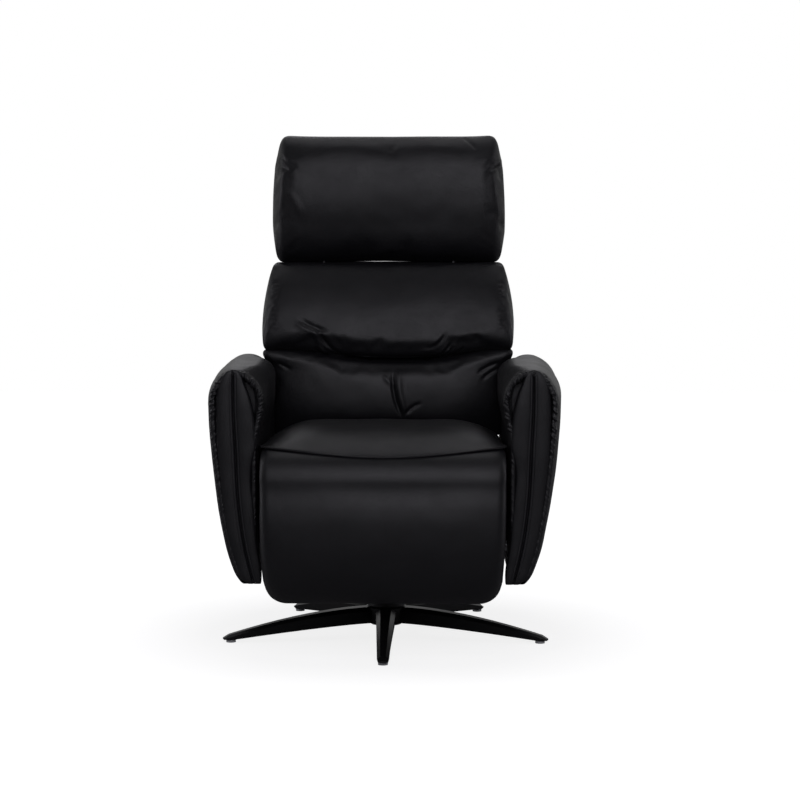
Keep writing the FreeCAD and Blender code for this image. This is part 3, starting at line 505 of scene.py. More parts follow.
# %% [markdown]
# ## Legrest pad
#
# One long pad hangs in front of the seat. At the top it wraps the drum round its hinge; below it
# bellies out a little, then turns under at the floor end, where the corners are well rounded. The
# outline is a path: part of a circle, then a smooth line, read by how far along it a point lies.


# %% Legrest pad
DRUM_PART = 0.42
DRUM_TURN = np.radians(100)
DRUM_CORE = 0.0275
LEGREST_CORNER = 0.050
LEGREST_FOOT_HALF = 0.2505
legrest_half = through((0, 0.5, 0.8, 1), (0.2555, 0.2555, 0.2540, 0.2500))
legrest_belly = through(
    (0, 0.03, 0.2, 0.38, 0.6, 0.8, 0.92, 1),
    (0, 0.0002, 0.0058, 0.0078, 0.003, -0.011, -0.028, -0.047),
)


def round_drum(share, radius):
    """The line round the drum, from behind its top down to its front."""
    turn = DRUM_TURN * (1 - np.clip(share / DRUM_PART, 0, 1))
    return legrest_hinge.y - radius * np.cos(turn), legrest_hinge.z + radius * np.sin(turn)


def legrest_path(share, bottom):
    """The pad's outer line from the top of the drum down to its lower edge."""
    y, z = round_drum(share, DRUM)
    down = np.clip((share - DRUM_PART) / (1 - DRUM_PART), 0, 1)
    return y - legrest_belly(down), z - (legrest_hinge.z - bottom) * down


def legrest_rule(places):
    u, v, w = rounded(places, (0.07, 0.04, 0.6)).T
    share = (v + 1) / 2
    depth = (w + 1) / 2
    x = u * legrest_half(share)
    corner = LEGREST_CORNER
    past = np.clip(np.abs(x) - (LEGREST_FOOT_HALF - corner), 0, corner * 0.98)
    bottom = pad_low.z - 0.002 + corner - np.sqrt(corner**2 - past**2)
    outer_y, outer_z = legrest_path(share, bottom)
    crown = 0.004 * (1 - u**2) * ramp(share, DRUM_PART, 0.6)
    sides = 0.006 * np.abs(u) ** 6
    inner_y, inner_z = round_drum(share, DRUM_CORE)
    hang = ramp(share, 0.36, 0.46)
    inner_y = mix(inner_y, legrest_hinge.y - 0.0155, hang)
    inner_z = mix(inner_z, outer_z, hang)
    outer_y = outer_y - crown + sides
    y = mix(inner_y, np.minimum(outer_y, inner_y - 0.006), depth)
    return np.stack((x, y, mix(inner_z, outer_z, depth)), axis=1)


legrest = mould("legrest_cushion_leather", (100, 100, 10), legrest_rule)


def dress_legrest(piece):
    """A level seam across the pad's foot, and slightly uneven leather below the drum."""
    places, x, z, front = face_of(piece, 0.2, 0.8)
    belt = front * (1 - ramp(np.abs(x), 0.2, 0.235))
    seam = np.exp(-(((z - 0.176) / 0.0016) ** 2)) - 0.6 * np.exp(-(((z - 0.172) / 0.003) ** 2))
    below_drum = 1 - ramp(z, legrest_hinge.z - 0.03, legrest_hinge.z + 0.01)
    uneven = rolling(places, 0.14, 3) * 0.0016 + rolling(places, 0.04, 4) * 0.0003
    push(piece, belt * seam * 0.0012 + uneven * below_drum)


dress_legrest(legrest)
finish_pad(legrest, "legrest", "legrest_cushion")

# %% [markdown]
# ## Back and lumbar pads
#
# The back is two pads sewn to each other. Their seam runs level in from both sides and sinks into
# a deep fold in the middle, and the leather above it is drawn towards the ends of that fold in
# small fans. Both pads read the seam from one function, so they meet along it.


# %% The seam of the back
SEAM_OVERLAP = 0.004


def back_seam(x):
    """The height of the seam between the two back pads."""
    return through(
        (-0.3, -0.24, -0.17, -0.09, 0.02, 0.13, 0.19, 0.25, 0.3),
        (0.627, 0.626, 0.621, 0.608, 0.603, 0.608, 0.620, 0.627, 0.628),
    )(x)


back_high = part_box("back_cushion")[1]
lumbar_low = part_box("lumbar_cushion")[0]
shell_low, shell_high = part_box("back_shell")
LEAN_FROM = 0.44


def lean(z):
    """The plane behind the back pads, which leans away from the sitter as it rises."""
    return 0.238 + np.maximum(z - LEAN_FROM, 0) * 42 / 385


# %% [markdown]
# The lumbar pad fills the space between the arms. It bellies forward in the middle, draws back at
# both sides and tucks in under the seam. The creases come after the swelling.


# %% Lumbar pad
lumbar_half = through(
    (0, 0.2, 0.74, 0.86, 0.93, 1),
    (0.262, 0.265, 0.269, 0.280, 0.2885, 0.2895),
)
lumbar_belly = through((0, 0.25, 0.55, 0.85, 1), (0.158, 0.143, 0.140, 0.149, 0.160))


def lumbar_rule(places):
    upper = places[:, 2:3] > 0
    u, v, w = rounded(places, np.where(upper, (0.04, 0.3, 0.05), (0.04, 0.3, 0.04))).T
    share = (w + 1) / 2
    x = u * lumbar_half(share)
    foot = lumbar_low.z - 0.016 * np.abs(u) ** 5
    z = mix(foot, back_seam(x) + SEAM_OVERLAP, share)
    front = lumbar_belly(share) + 0.030 * np.abs(u) ** 3.6 * (1 - 0.75 * ramp(share, 0.75, 1))
    y = mix(front, lean(LEAN_FROM) - 0.001, (v + 1) / 2)
    return np.stack((x, y, z), axis=1)


lumbar = mould("lumbar_cushion_leather", (60, 14, 24), lumbar_rule)
swell(lumbar, 0.0048, 0.006)


def crease_lumbar(piece):
    places, x, z, front = face_of(piece, 0.1, 0.7)
    fold = stroke(x, z, (0.012, 0.585), (0.036, 0.47), 0.0042, bend=-0.008)
    beside = stroke(x, z, (0.026, 0.585), (0.050, 0.47), 0.007, bend=-0.008)
    branch = stroke(x, z, (0.038, 0.478), (0.080, 0.510), 0.0045, bend=0.004)
    short = stroke(x, z, (-0.012, 0.572), (0.018, 0.545), 0.005)
    corner = stroke(x, z, (0.205, 0.575), (0.262, 0.602), 0.004, bend=0.003)
    corner = corner + stroke(x, z, (0.215, 0.560), (0.260, 0.588), 0.004, bend=0.003)
    left = stroke(x, z, (-0.26, 0.602), (-0.22, 0.583), 0.004)
    drawn = -0.0052 * fold + 0.0030 * beside - 0.0030 * branch + 0.0018 * short
    drawn = drawn - 0.003 * corner - 0.0022 * left
    uneven = rolling(places, 0.09, 5) * 0.0018 + rolling(places, 0.03, 6) * 0.0004
    push(piece, front * (drawn + uneven))


crease_lumbar(lumbar)
finish_pad(lumbar, "backrest", "lumbar_cushion")

# %% [markdown]
# The upper pad is broad at the seam and narrows towards the headrest, with round shoulders. Its
# face leans back more and more, and ends under the headrest. The fans of folds are drawn as short
# strokes in pairs: a sunken one with a raised one beside it. Each fold is written as its start,
# its end, its width and its bend.


# %% Back pad
back_half = through((0, 0.08, 0.3, 0.62, 0.86, 1), (0.290, 0.292, 0.2885, 0.283, 0.278, 0.272))
back_face = through((0, 0.06, 0.35, 0.62, 0.85, 1), (0.155, 0.149, 0.157, 0.181, 0.216, 0.250))


def back_rule(places):
    upper = places[:, 2:3] > 0
    u, v, w = rounded(places, np.where(upper, (0.05, 0.3, 0.11), (0.04, 0.3, 0.02))).T
    share = (w + 1) / 2
    x = u * back_half(share)
    z = mix(back_seam(x) - SEAM_OVERLAP, back_high.z + 0.001, share)
    front = back_face(share) + 0.013 * np.abs(u) ** 4
    y = mix(front, lean(z) - 0.001, (v + 1) / 2)
    return np.stack((x, y, z), axis=1)


back = mould("back_cushion_leather", (64, 14, 28), back_rule)
swell(back, 0.0048, 0.006)

FANS = (
    ((-0.083, 0.604), (-0.165, 0.688), 0.0050, 0.014),
    ((-0.100, 0.607), (-0.158, 0.648), 0.0036, 0.006),
    ((-0.120, 0.611), (-0.172, 0.636), 0.0032, 0.003),
    ((-0.135, 0.672), (-0.205, 0.702), 0.0060, 0.004),
    ((0.103, 0.610), (0.150, 0.652), 0.0040, -0.006),
    ((0.122, 0.611), (0.152, 0.640), 0.0032, -0.003),
    ((0.135, 0.612), (0.178, 0.638), 0.0032, -0.003),
    ((0.084, 0.630), (0.138, 0.674), 0.0055, -0.008),
)


def crease_back(piece):
    places, x, z, front = face_of(piece, 0.05, 0.6)
    drawn = np.zeros(len(places))
    for start, end, width, bend in FANS:
        drawn -= 0.0040 * stroke(x, z, start, end, width, bend)
        aside = width * 1.9
        drawn += 0.0026 * stroke(x + aside, z + aside * 0.6, start, end, width * 1.2, bend)
    fold = np.exp(-(((z - back_seam(x)) / 0.011) ** 2)) * (1 - ramp(np.abs(x - 0.025), 0.09, 0.16))
    side = np.exp(-(((np.abs(x) - 0.262) / 0.006) ** 2)) * np.sin(z * 420 + 3 * np.sin(z * 90))
    drawn = drawn - 0.006 * fold + 0.0007 * side * ramp(z, 0.64, 0.7)
    uneven = rolling(places, 0.10, 7) * 0.0022 + rolling(places, 0.035, 8) * 0.0005
    push(piece, front * (drawn + uneven))


crease_back(back)
finish_pad(back, "backrest", "back_cushion")

# %% [markdown]
# ## Headrest
#
# The headrest is a fat pillow that tilts on two levers. Its front is full, its lower part turns
# back under, and there are small gathers at the side seams near the top corners.

# %% Headrest
head_low, head_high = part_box("headrest_cushion")
headrest_half = through((0, 0.25, 0.6, 1), (0.2715, 0.273, 0.2695, 0.261))
headrest_face = through((0, 0.1, 0.3, 0.6, 0.85, 1), (0.268, 0.248, 0.232, 0.229, 0.245, 0.270))
headrest_rear = through((0, 0.3, 0.7, 1), (0.352, 0.369, 0.370, 0.335))


def headrest_rule(places):
    u, v, w = rounded(places, (0.065, 0.62, 0.17)).T
    share = (w + 1) / 2
    front = headrest_face(share) + 0.008 * np.abs(u) ** 4
    y = mix(front, headrest_rear(share), (v + 1) / 2)
    lift = 0.3 * np.maximum(0.297 - y, 0)
    z = mix(head_low.z - 0.003 + lift, head_high.z + 0.003, share)
    return np.stack((u * headrest_half(share), y, z), axis=1)


headrest = mould("headrest_cushion_leather", (60, 16, 32), headrest_rule)
swell(headrest, 0.0055, 0.005)


def crease_headrest(piece):
    places, x, z, front = face_of(piece, -0.1, 0.4)
    drawn = -0.0022 * stroke(x, z, (0.170, 1.122), (0.205, 1.088), 0.004, bend=0.004)
    drawn -= 0.0030 * stroke(x, z, (0.272, 1.060), (0.225, 1.036), 0.005, bend=0.003)
    drawn += 0.0022 * stroke(x, z, (0.270, 1.072), (0.230, 1.052), 0.006, bend=0.003)
    drawn -= 0.0026 * stroke(x, z, (-0.272, 1.066), (-0.222, 1.040), 0.005, bend=-0.003)
    drawn -= 0.0020 * stroke(x, z, (-0.270, 1.085), (-0.235, 1.062), 0.004)
    drawn += 0.0016 * stroke(x, z, (-0.240, 1.000), (-0.200, 0.930), 0.009, bend=0.006)
    uneven = rolling(places, 0.12, 9) * 0.0030 + rolling(places, 0.04, 10) * 0.0006
    push(piece, front * (drawn + uneven))


crease_headrest(headrest)
finish_pad(headrest, "headrest", "headrest_cushion")

# %% [markdown]
# ## Arms
#
# Each arm is a padded slab, nearly flat on the inside and rounded outside, fullest a hand's width
# below its top. Its front end is closed by a leaf-shaped panel that is sewn in, with a narrow
# gathered band round it. Both arms come from the same rules, mirrored. The cells are small near
# the front, where the gathers are.


# %% Arm body
ARM_TOP = 0.634
ARM_FALL = 0.014
ARM_INNER = 0.262
ARM_FRONT = -0.326
ARM_HALF_DEPTH = 0.33
BACK_SWEEP = 0.22
arm_side = through(
    (0.150, 0.184, 0.227, 0.271, 0.314, 0.358, 0.401, 0.444, 0.487, 0.53, 0.64),
    (0.318, 0.333, 0.348, 0.358, 0.366, 0.372, 0.377, 0.3815, 0.3852, 0.387, 0.387),
)


def arm_outline(u, w, y, arm_low):
    """Where a point of the rounded cube lies in the arm's cross-section at one depth.

    The arm's top keeps below the circle that the reclining back sweeps.
    """
    share = (w + 1) / 2
    behind = np.maximum(y - recline_hinge.y, 0)
    swing = recline_hinge.z + np.sqrt(BACK_SWEEP**2 - behind**2) - 0.002 - behind * 0.09
    top = np.minimum(ARM_TOP - ARM_FALL * ramp(y, -0.3, 0.15), swing)
    z = mix(arm_low.z, top, share)
    nearer = np.clip(-y / ARM_HALF_DEPTH, 0, 1) ** 1.6
    further = np.clip(y / ARM_HALF_DEPTH, 0, 1) ** 3
    rise = np.clip((y - ARM_FRONT) / 0.020, 0, 1)
    roll = 0.0045 * (1 - np.sqrt(1 - (1 - rise) ** 2))
    outer = arm_side(z) - 0.021 * nearer - 0.012 * further - roll
    lobe = 0.014 * ramp(z, 0.455, 0.55) * (1 - ramp(y, 0.0, 0.12))
    return mix(ARM_INNER - lobe + roll, outer, (u + 1) / 2), z - roll * ramp(z, 0.55, 0.62)


def arm_radii(places):
    """Evenly round at the front end; further back the inner shoulder is squarer."""
    radii = np.where(places[:, 2:3] > 0, (0.98, 0.03, 0.33), (0.40, 0.03, 0.115))
    depth = ((places[:, 1] + 1) / 2) ** 1.5
    square = ramp(depth, 0.02, 0.28) * (1 - ramp(depth, 0.58, 0.72))
    square = square * (places[:, 0] < 0) * (places[:, 2] > 0)
    radii[:, 0] = mix(radii[:, 0], 0.50, square)
    radii[:, 2] = mix(radii[:, 2], 0.15, square)
    return radii


def arm_rule(side, places, arm_low, arm_high):
    u, v, w = rounded(places, arm_radii(places)).T
    depth = ((v + 1) / 2) ** 1.5
    y = mix(arm_low.y, arm_high.y - 0.001, depth)
    x, z = arm_outline(u, w, y, arm_low)
    return np.stack((side * x, y, z), axis=1)


def turn_out(piece):
    """Makes every face look outwards again after a mirrored rule."""
    alone(piece)
    bpy.ops.object.mode_set(mode="EDIT")
    bpy.ops.mesh.select_all(action="SELECT")
    bpy.ops.mesh.normals_make_consistent(inside=False)
    bpy.ops.object.mode_set(mode="OBJECT")


# %% [markdown]
# The front outline of the arm is a line to work along: round it go the gathered band and the
# stitches. It is read from the same rule as the arm, walked in even steps, and it knows which way
# is inwards at each step.


# %% The line round the arm's front
def even_steps(line, count):
    """Walks a line of points in equal steps."""
    lengths = np.concatenate(([0], np.cumsum(np.linalg.norm(np.diff(line, axis=0), axis=1))))
    at = np.linspace(0, lengths[-1], count)
    return np.stack([np.interp(at, lengths, line[:, axis]) for axis in range(line.shape[1])], axis=1)


def arm_front_line(count):
    """From the lower inner corner up, over the top and down the outside, as (x, z)."""
    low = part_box("arm_pad_left")[0]
    edge = 0.97
    rise = np.linspace(-edge, 1, 300)
    flat = np.linspace(-1, 1, 200)
    u = np.concatenate((-np.ones(len(rise)), flat, np.ones(len(rise))))
    w = np.concatenate((rise, np.ones(len(flat)), rise[::-1]))
    square = np.stack((u, np.full(len(u), -edge), w), axis=1)
    soft_u, _, soft_w = rounded(square, arm_radii(square)).T
    x, z = arm_outline(soft_u, soft_w, np.full(len(u), low.y), low)
    return even_steps(np.stack((x, z), axis=1), count)


FRONT_LINE = arm_front_line(600)
FRONT_STEP = np.gradient(FRONT_LINE, axis=0)
FRONT_INWARD = np.stack((FRONT_STEP[:, 1], -FRONT_STEP[:, 0]), axis=1)
FRONT_INWARD /= np.linalg.norm(FRONT_INWARD, axis=1, keepdims=True)
FRONT_LENGTH = float(np.linalg.norm(np.diff(FRONT_LINE, axis=0), axis=1).sum())
print("round the arm's front:", round(FRONT_LENGTH, 3), "m")


def on_front_line(share):
    """Place and inward direction at a share of the way round."""
    index = np.clip(share, 0, 1) * (len(FRONT_LINE) - 1)
    steps = np.arange(len(FRONT_LINE))
    place = [np.interp(index, steps, FRONT_LINE[:, axis]) for axis in (0, 1)]
    inward = [np.interp(index, steps, FRONT_INWARD[:, axis]) for axis in (0, 1)]
    return *place, *inward


def gather_share(share, z):
    """How strongly the leather is gathered: fully over the top, less down both sides."""
    inner = 1 - ramp(share, 0.36, 0.42)
    low_end = np.where(inner > 0.5, 0.46, 0.42)
    return 0.25 + 0.75 * ramp(z, low_end, 0.56)


# %% [markdown]
# The leather of the arm is drawn together before it meets the band, so short folds run back from
# the front edge. They are noise stretched along the arm, and they die out within a few
# centimetres.


# %% Both arms
GATHER_HEIGHT = 0.0030
GATHER_SIZE = np.array((0.009, 0.05, 0.009))


def arm_gathers(places):
    _, y, z = places.T
    near = 1 - ramp(y, -0.33, -0.285)
    folds = np.array([noise.noise(Vector(place)) for place in places / GATHER_SIZE])
    return folds * near * (0.1 + 0.9 * ramp(z, 0.52, 0.60)) * GATHER_HEIGHT


SWITCH_LOW, SWITCH_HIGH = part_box("switch_housing")


def switch_dent(places):
    """The leather is drawn in round the plate of the switches."""
    x, y, z = places.T
    middle = (SWITCH_LOW + SWITCH_HIGH) / 2
    half = (SWITCH_HIGH - SWITCH_LOW) / 2
    beyond = np.maximum(np.abs(y - middle.y) - half.y, np.abs(z - middle.z) - half.z)
    return np.where(x < 0, 1 - ramp(beyond, 0.0005, 0.008), 0)


def front_recess(places):
    """1 on the front cap inside the band, where the leaf is let in."""
    cap = places[:, 1] < ARM_FRONT
    away = np.zeros(len(places))
    for index in np.nonzero(cap)[0]:
        x, _, z = places[index]
        away[index] = np.min(np.hypot(FRONT_LINE[:, 0] - abs(x), FRONT_LINE[:, 1] - z))
    return ramp(away, 0.006, 0.012)


def make_arm(name, side):
    node = f"arm_pad_{name}"
    piece = cut_block(node + "_leather", (28, 100, 100))
    write_points(piece, arm_rule(side, read_points(piece), *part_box(node)))
    turn_out(piece)
    places = read_points(piece)
    ways = read_normals(piece)
    soft = ramp(np.abs(ways[:, 0]) + np.maximum(ways[:, 2], 0), 0.3, 0.9)
    uneven = rolling(places, 0.13, 11 + side) * 0.0020 + rolling(places, 0.045, 13 + side) * 0.0005
    push(piece, soft * (uneven * ramp(places[:, 1], -0.32, -0.25) + arm_gathers(places)))
    places = read_points(piece)
    dent = switch_dent(places) * (np.abs(places[:, 0]) > 0.36)
    drawn_in = np.maximum(places[:, 0], SWITCH_LOW.x + 0.0035)
    places[:, 0] = np.where(dent > 0, mix(places[:, 0], drawn_in, dent), places[:, 0])
    places[:, 1] += 0.012 * front_recess(places)
    write_points(piece, places)
    finish_pad(piece, "chassis", node)


for name, side in SIDES:
    make_arm(name, side)

# %% [markdown]
# The band itself is a rolled strip: a long block bent along the line, rounded across, with fine
# folds. It runs all the way round and stands a little in front of the arm.


# %% Gathered band
BAND_OUTER = -0.0012
BAND_INNER = 0.0100
BAND_REAR = -0.3255
BAND_FRONT = -0.3400
FINE_FOLD = 0.0050
BROAD_FOLD = 0.013


def band_rule(side, places):
    u, v, w = rounded(places, (0.75, 0.008, 0.6)).T
    share = mix(0.004, 0.996, (v + 1) / 2)
    x, z, inward_x, inward_z = on_front_line(share)
    far = mix(BAND_OUTER, BAND_INNER, (u + 1) / 2)
    y = mix(BAND_REAR, BAND_FRONT, (w + 1) / 2)
    return np.stack((side * (x + inward_x * far), y, z + inward_z * far), axis=1), share, far


def folds_along(walk, far, size, seed):
    """Noise along the band that hardly changes across it."""
    return np.array([noise.noise(Vector((a / size, b / 0.02, seed))) for a, b in zip(walk, far)])


def make_band(name, side):
    piece = cut_block(f"arm_band_{name}", (9, 71, 6), again=9)
    places, share, far = band_rule(side, read_points(piece))
    write_points(piece, places)
    turn_out(piece)
    slant = share * FRONT_LENGTH + far * 0.8
    fine = folds_along(slant, far, FINE_FOLD, 3.0 + side)
    broad = folds_along(slant, far, BROAD_FOLD, 9.0 + side)
    push(piece, (fine * 0.0042 + broad * 0.0030) * gather_share(share, places[:, 2]))
    finish_pad(piece, "chassis")


for name, side in SIDES:
    make_band(name, side)

# %% [markdown]
# The leaf is narrow at both ends, and its inner edge steps in where the legrest begins. It is two
# halves sewn together down the middle, so each half is slightly full and the seam lies in a
# valley. Its edges and its seam are written as pairs: a height and how far out the line lies there.

# %% Leaf panels
LEAF_BOTTOM = 0.166
LEAF_TOP = 0.617
STITCH_ASIDE = 0.006
LEAF_REAR = -0.3295
LEAF_FACE = -0.338
INNER_EDGE = (
    (0.166, 0.256), (0.19, 0.2555), (0.245, 0.263), (0.326, 0.2695), (0.387, 0.2755), (0.406, 0.275),
    (0.43, 0.2705), (0.453, 0.2655), (0.478, 0.266), (0.505, 0.2675), (0.538, 0.2725),
    (0.565, 0.280), (0.586, 0.2885), (0.605, 0.2965), (0.614, 0.303), (0.617, 0.309),
)
OUTER_EDGE = (
    (0.166, 0.284), (0.174, 0.295), (0.207, 0.310), (0.267, 0.327), (0.326, 0.336), (0.406, 0.345),
    (0.453, 0.349), (0.478, 0.3505), (0.505, 0.3512), (0.538, 0.3510), (0.565, 0.3490),
    (0.586, 0.3445), (0.605, 0.334), (0.614, 0.325), (0.617, 0.316),
)
MIDDLE_SEAM = (
    (0.166, 0.272), (0.2, 0.281), (0.25, 0.292), (0.33, 0.303), (0.45, 0.3095), (0.54, 0.3135),
    (0.617, 0.3135),
)
leaf_inner = through(*zip(*INNER_EDGE))
leaf_outer = through(*zip(*OUTER_EDGE))
leaf_seam = through(*zip(*MIDDLE_SEAM))


def leaf_rule(side, places):
    u, v, w = rounded(places, (0.14, 0.55, 0.02)).T
    z = mix(LEAF_BOTTOM, LEAF_TOP, (w + 1) / 2)
    x = mix(leaf_inner(z), leaf_outer(z), (u + 1) / 2)
    y = mix(LEAF_REAR, leaf_front(x, z), (1 - v) / 2)
    return np.stack((side * x, y, z), axis=1)


def leaf_front(x, z):
    """How far forward the face of a leaf stands: two full halves and the valley of the seam."""
    seam = leaf_seam(z)
    half = np.where(x < seam, seam - leaf_inner(z), leaf_outer(z) - seam)
    out = np.clip(np.abs(x - seam) / np.maximum(half, 0.003), 0, 1)
    full = 0.0060 * np.sqrt(np.clip(1 - (2 * out - 1) ** 2, 0, 1)) * np.minimum(half / 0.04, 1)
    valley = 0.0030 * np.exp(-(((x - seam) / 0.0016) ** 2))
    sewn = 0.0006 * np.exp(-(((np.abs(x - seam) - STITCH_ASIDE) / 0.0012) ** 2))
    return LEAF_FACE - full + valley + sewn


def make_leaf(name, side):
    node = f"arm_front_panel_{name}"
    piece = cut_block(node + "_leather", (90, 5, 100))
    write_points(piece, leaf_rule(side, read_points(piece)))
    turn_out(piece)
    places = read_points(piece)
    push(piece, rolling(places, 0.05, 17 + side) * 0.0007)
    finish_pad(piece, "chassis", node)


for name, side in SIDES:
    make_leaf(name, side)

# %% [markdown]
# A row of stitches runs down each side of the leaf's seam. One stitch is a small rounded block;
# an array makes the row, and a rule lays the row along the seam, half sunk into the leather.


# %% Stitches
def lay_stitches(name, side, aside, count=84):
    piece = cut_block(name, (2, 1, 1))
    write_points(piece, rounded(read_points(piece), (0.5, 0.9, 0.9)))
    alone(piece)
    row = piece.modifiers.new("row", "ARRAY")
    row.count = count
    row.relative_offset_displace = (1.45, 0, 0)
    bpy.ops.object.modifier_apply(modifier=row.name)
    along, across, up = read_points(piece).T
    z = mix(LEAF_BOTTOM + 0.030, LEAF_TOP - 0.022, (along + 1) / (along.max() + 1))
    x = leaf_seam(z) + aside + 0.00055 * across
    y = leaf_front(leaf_seam(z) + aside, z) - 0.0006 - 0.0006 * up
    write_points(piece, np.stack((side * x, y, z), axis=1))
    turn_out(piece)
    shade(piece)
    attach(piece, "chassis")
    return piece


stitches = []
for name, side in SIDES:
    for row, aside in (("inner", -STITCH_ASIDE), ("outer", STITCH_ASIDE)):
        stitches.append(lay_stitches(f"stitches_{name}_{row}", side, aside))
print("rows of stitches:", len(stitches))

# %% [markdown]
# ## Back shell and rear panel
#
# Behind the pads is a leather-covered tray that hides the frame: one block bent to the slope of
# the back, opened in front and below, and given a thickness.


# %% Back shell
shell_half = through((0.33, 0.50, 0.59, 0.635, 0.831), (0.243, 0.251, 0.253, 0.281, 0.262))
shell_rear = through((0.33, 0.5, 0.59, 0.63, 0.831), (0.303, 0.320, 0.334, 0.343, 0.397))


def shell_rule(places):
    u, v, w = rounded(places, (0.16, 0.38, 0.05)).T
    z = mix(shell_low.z, shell_high.z, (w + 1) / 2)
    near = mix(0.262, lean(z) + 0.0005, ramp(z, 0.40, 0.48))
    y = mix(near, shell_rear(z), (v + 1) / 2)
    bow = 0.004 * (1 - u**2) * ramp(v, 0.5, 1)
    return np.stack((u * shell_half(z), y + bow, z), axis=1)


def open_faces(piece, open_side):
    """Deletes the faces that a test on the middle and the way of each face picks out."""
    alone(piece)
    bpy.ops.object.mode_set(mode="EDIT")
    bpy.ops.mesh.select_mode(type="FACE")
    bpy.ops.mesh.select_all(action="DESELECT")
    bpy.ops.object.mode_set(mode="OBJECT")
    for face in piece.data.polygons:
        face.select = open_side(face.center, face.normal)
    bpy.ops.object.mode_set(mode="EDIT")
    bpy.ops.mesh.delete(type="FACE")
    bpy.ops.object.mode_set(mode="OBJECT")


def thicken(piece, thickness):
    alone(piece)
    wall = piece.modifiers.new("wall", "SOLIDIFY")
    wall.thickness = thickness
    wall.offset = -1
    bpy.ops.object.modifier_apply(modifier=wall.name)


shell = cut_block("back_shell_leather", (90, 22, 80))
open_faces(shell, lambda middle, way: way.y < -0.9 or way.z < -0.9)
write_points(shell, shell_rule(read_points(shell)))
shell_places = read_points(shell)
push(shell, rolling(shell_places, 0.15, 21) * 0.0022 + rolling(shell_places, 0.05, 22) * 0.0004)
thicken(shell, 0.006)
finish_pad(shell, "backrest", "back_shell")

# %% [markdown]
# The rear panel below the back closes the seat's frame. It has a hole for the charging socket,
# cut with a plain block.


# %% Rear panel
def cut_away(piece, low, high):
    """Cuts a straight hole through a piece."""
    bpy.ops.object.select_all(action="DESELECT")
    bpy.ops.mesh.primitive_cube_add(size=1, location=(Vector(low) + Vector(high)) / 2)
    tool = bpy.context.object
    tool.scale = Vector(high) - Vector(low)
    alone(tool)
    bpy.ops.object.transform_apply(location=False, rotation=False, scale=True)
    alone(piece)
    cut = piece.modifiers.new("hole", "BOOLEAN")
    cut.operation = "DIFFERENCE"
    cut.object = tool
    bpy.ops.object.modifier_apply(modifier=cut.name)
    bpy.data.objects.remove(tool, do_unlink=True)


panel_low, panel_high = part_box("rear_valance")
socket_low, socket_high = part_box("charging_inlet")
SOCKET_RIM = 0.0045


def panel_rule(places):
    u, v, w = rounded(places, (0.02, 0.6, 0.1)).T
    x = u * panel_high.x
    y = mix(panel_low.y, panel_high.y, (v + 1) / 2)
    z = mix(panel_low.z, panel_high.z, (w + 1) / 2)
    return np.stack((x, y, z), axis=1)


panel = mould("rear_panel_leather", (80, 4, 20), panel_rule)
cut_away(
    panel,
    (socket_low.x + SOCKET_RIM, panel_low.y - 0.01, socket_low.z + SOCKET_RIM),
    (socket_high.x - SOCKET_RIM, panel_high.y + 0.01, socket_high.z - SOCKET_RIM),
)
finish_pad(panel, "chassis", "rear_valance")

# %% [markdown]
# Between the shell and the rear panel hangs a black dust cover, moulded in place with a slight sag and
# ripple; it is not attached to the shell or the panel.


# %% Dust cover
SKIRT_HALF = 0.228
SKIRT_SAG = 0.010
SKIRT_REAR = shell_low.y + 0.036


def skirt_rule(places):
    u, v, w = places.T
    up = (w + 1) / 2
    sag = SKIRT_SAG * np.sin(np.pi * up)
    y = mix(panel_high.y - 0.003, SKIRT_REAR, up) + sag + 0.0012 * v
    z = mix(panel_high.z - 0.006, shell_low.z + 0.012, up)
    ripple = 0.0015 * np.sin(u * 37) * np.sin(np.pi * up)
    return np.stack((u * SKIRT_HALF, y + ripple, z), axis=1)


skirt = mould("dust_cover", (110, 1, 26), skirt_rule)
shade(skirt)
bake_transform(skirt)

# %% [markdown]
# ## Metal, wood, plastic and webbing
#
# The star and the frame are steel with a satin black coat; bolts and pins are zinc plated. The
# coats get a faint orange-peel bump, the zinc a fine mottling, the birch plywood long grain, and
# the webbing a weave. Every pattern follows the piece itself.


# %% Hard materials
def make_coat(name, colour, low, high, peel):
    made, tree, shader, place = new_material(name, colour, low)
    cloudy = add_noise(tree, place, 9, 3.0)
    tree.links.new(from_noise(tree, cloudy, low, high), shader.inputs["Roughness"])
    add_bump(tree, shader, add_noise(tree, place, 420, 2.0), peel)
    return made


def make_zinc():
    made, tree, shader, place = new_material("zinc_steel", (0.55, 0.56, 0.58), 0.32, 1.0)
    mottled = add_noise(tree, place, 160, 4.0, 0.65)
    tree.links.new(from_noise(tree, mottled, 0.24, 0.42), shader.inputs["Roughness"])
    tint(tree, shader, mottled, (0.42, 0.43, 0.45), (0.62, 0.63, 0.65))
    return made


def make_plywood():
    made, tree, shader, place = new_material("plywood", (0.52, 0.36, 0.20), 0.6)
    stretch = tree.nodes.new("ShaderNodeMapping")
    stretch.inputs["Scale"].default_value = (40, 3, 40)
    tree.links.new(place, stretch.inputs["Vector"])
    grain = add_noise(tree, stretch.outputs["Vector"], 4, 6.0, 0.6)
    tint(tree, shader, from_noise(tree, grain, 0.0, 1.0), (0.40, 0.26, 0.13), (0.60, 0.44, 0.26))
    add_bump(tree, shader, grain, 0.0002)
    return made


def make_webbing():
    made, tree, shader, place = new_material("webbing", (0.02, 0.02, 0.021), 0.85)
    waves = []
    for direction in ("X", "Y"):
        wave = tree.nodes.new("ShaderNodeTexWave")
        wave.bands_direction = direction
        wave.inputs["Scale"].default_value = 90
        tree.links.new(place, wave.inputs["Vector"])
        waves.append(wave.outputs["Fac"])
    woven = combine(tree, "MULTIPLY", *waves)
    tint(tree, shader, woven, (0.012, 0.012, 0.013), (0.035, 0.035, 0.037))
    add_bump(tree, shader, woven, 0.0006)
    return made


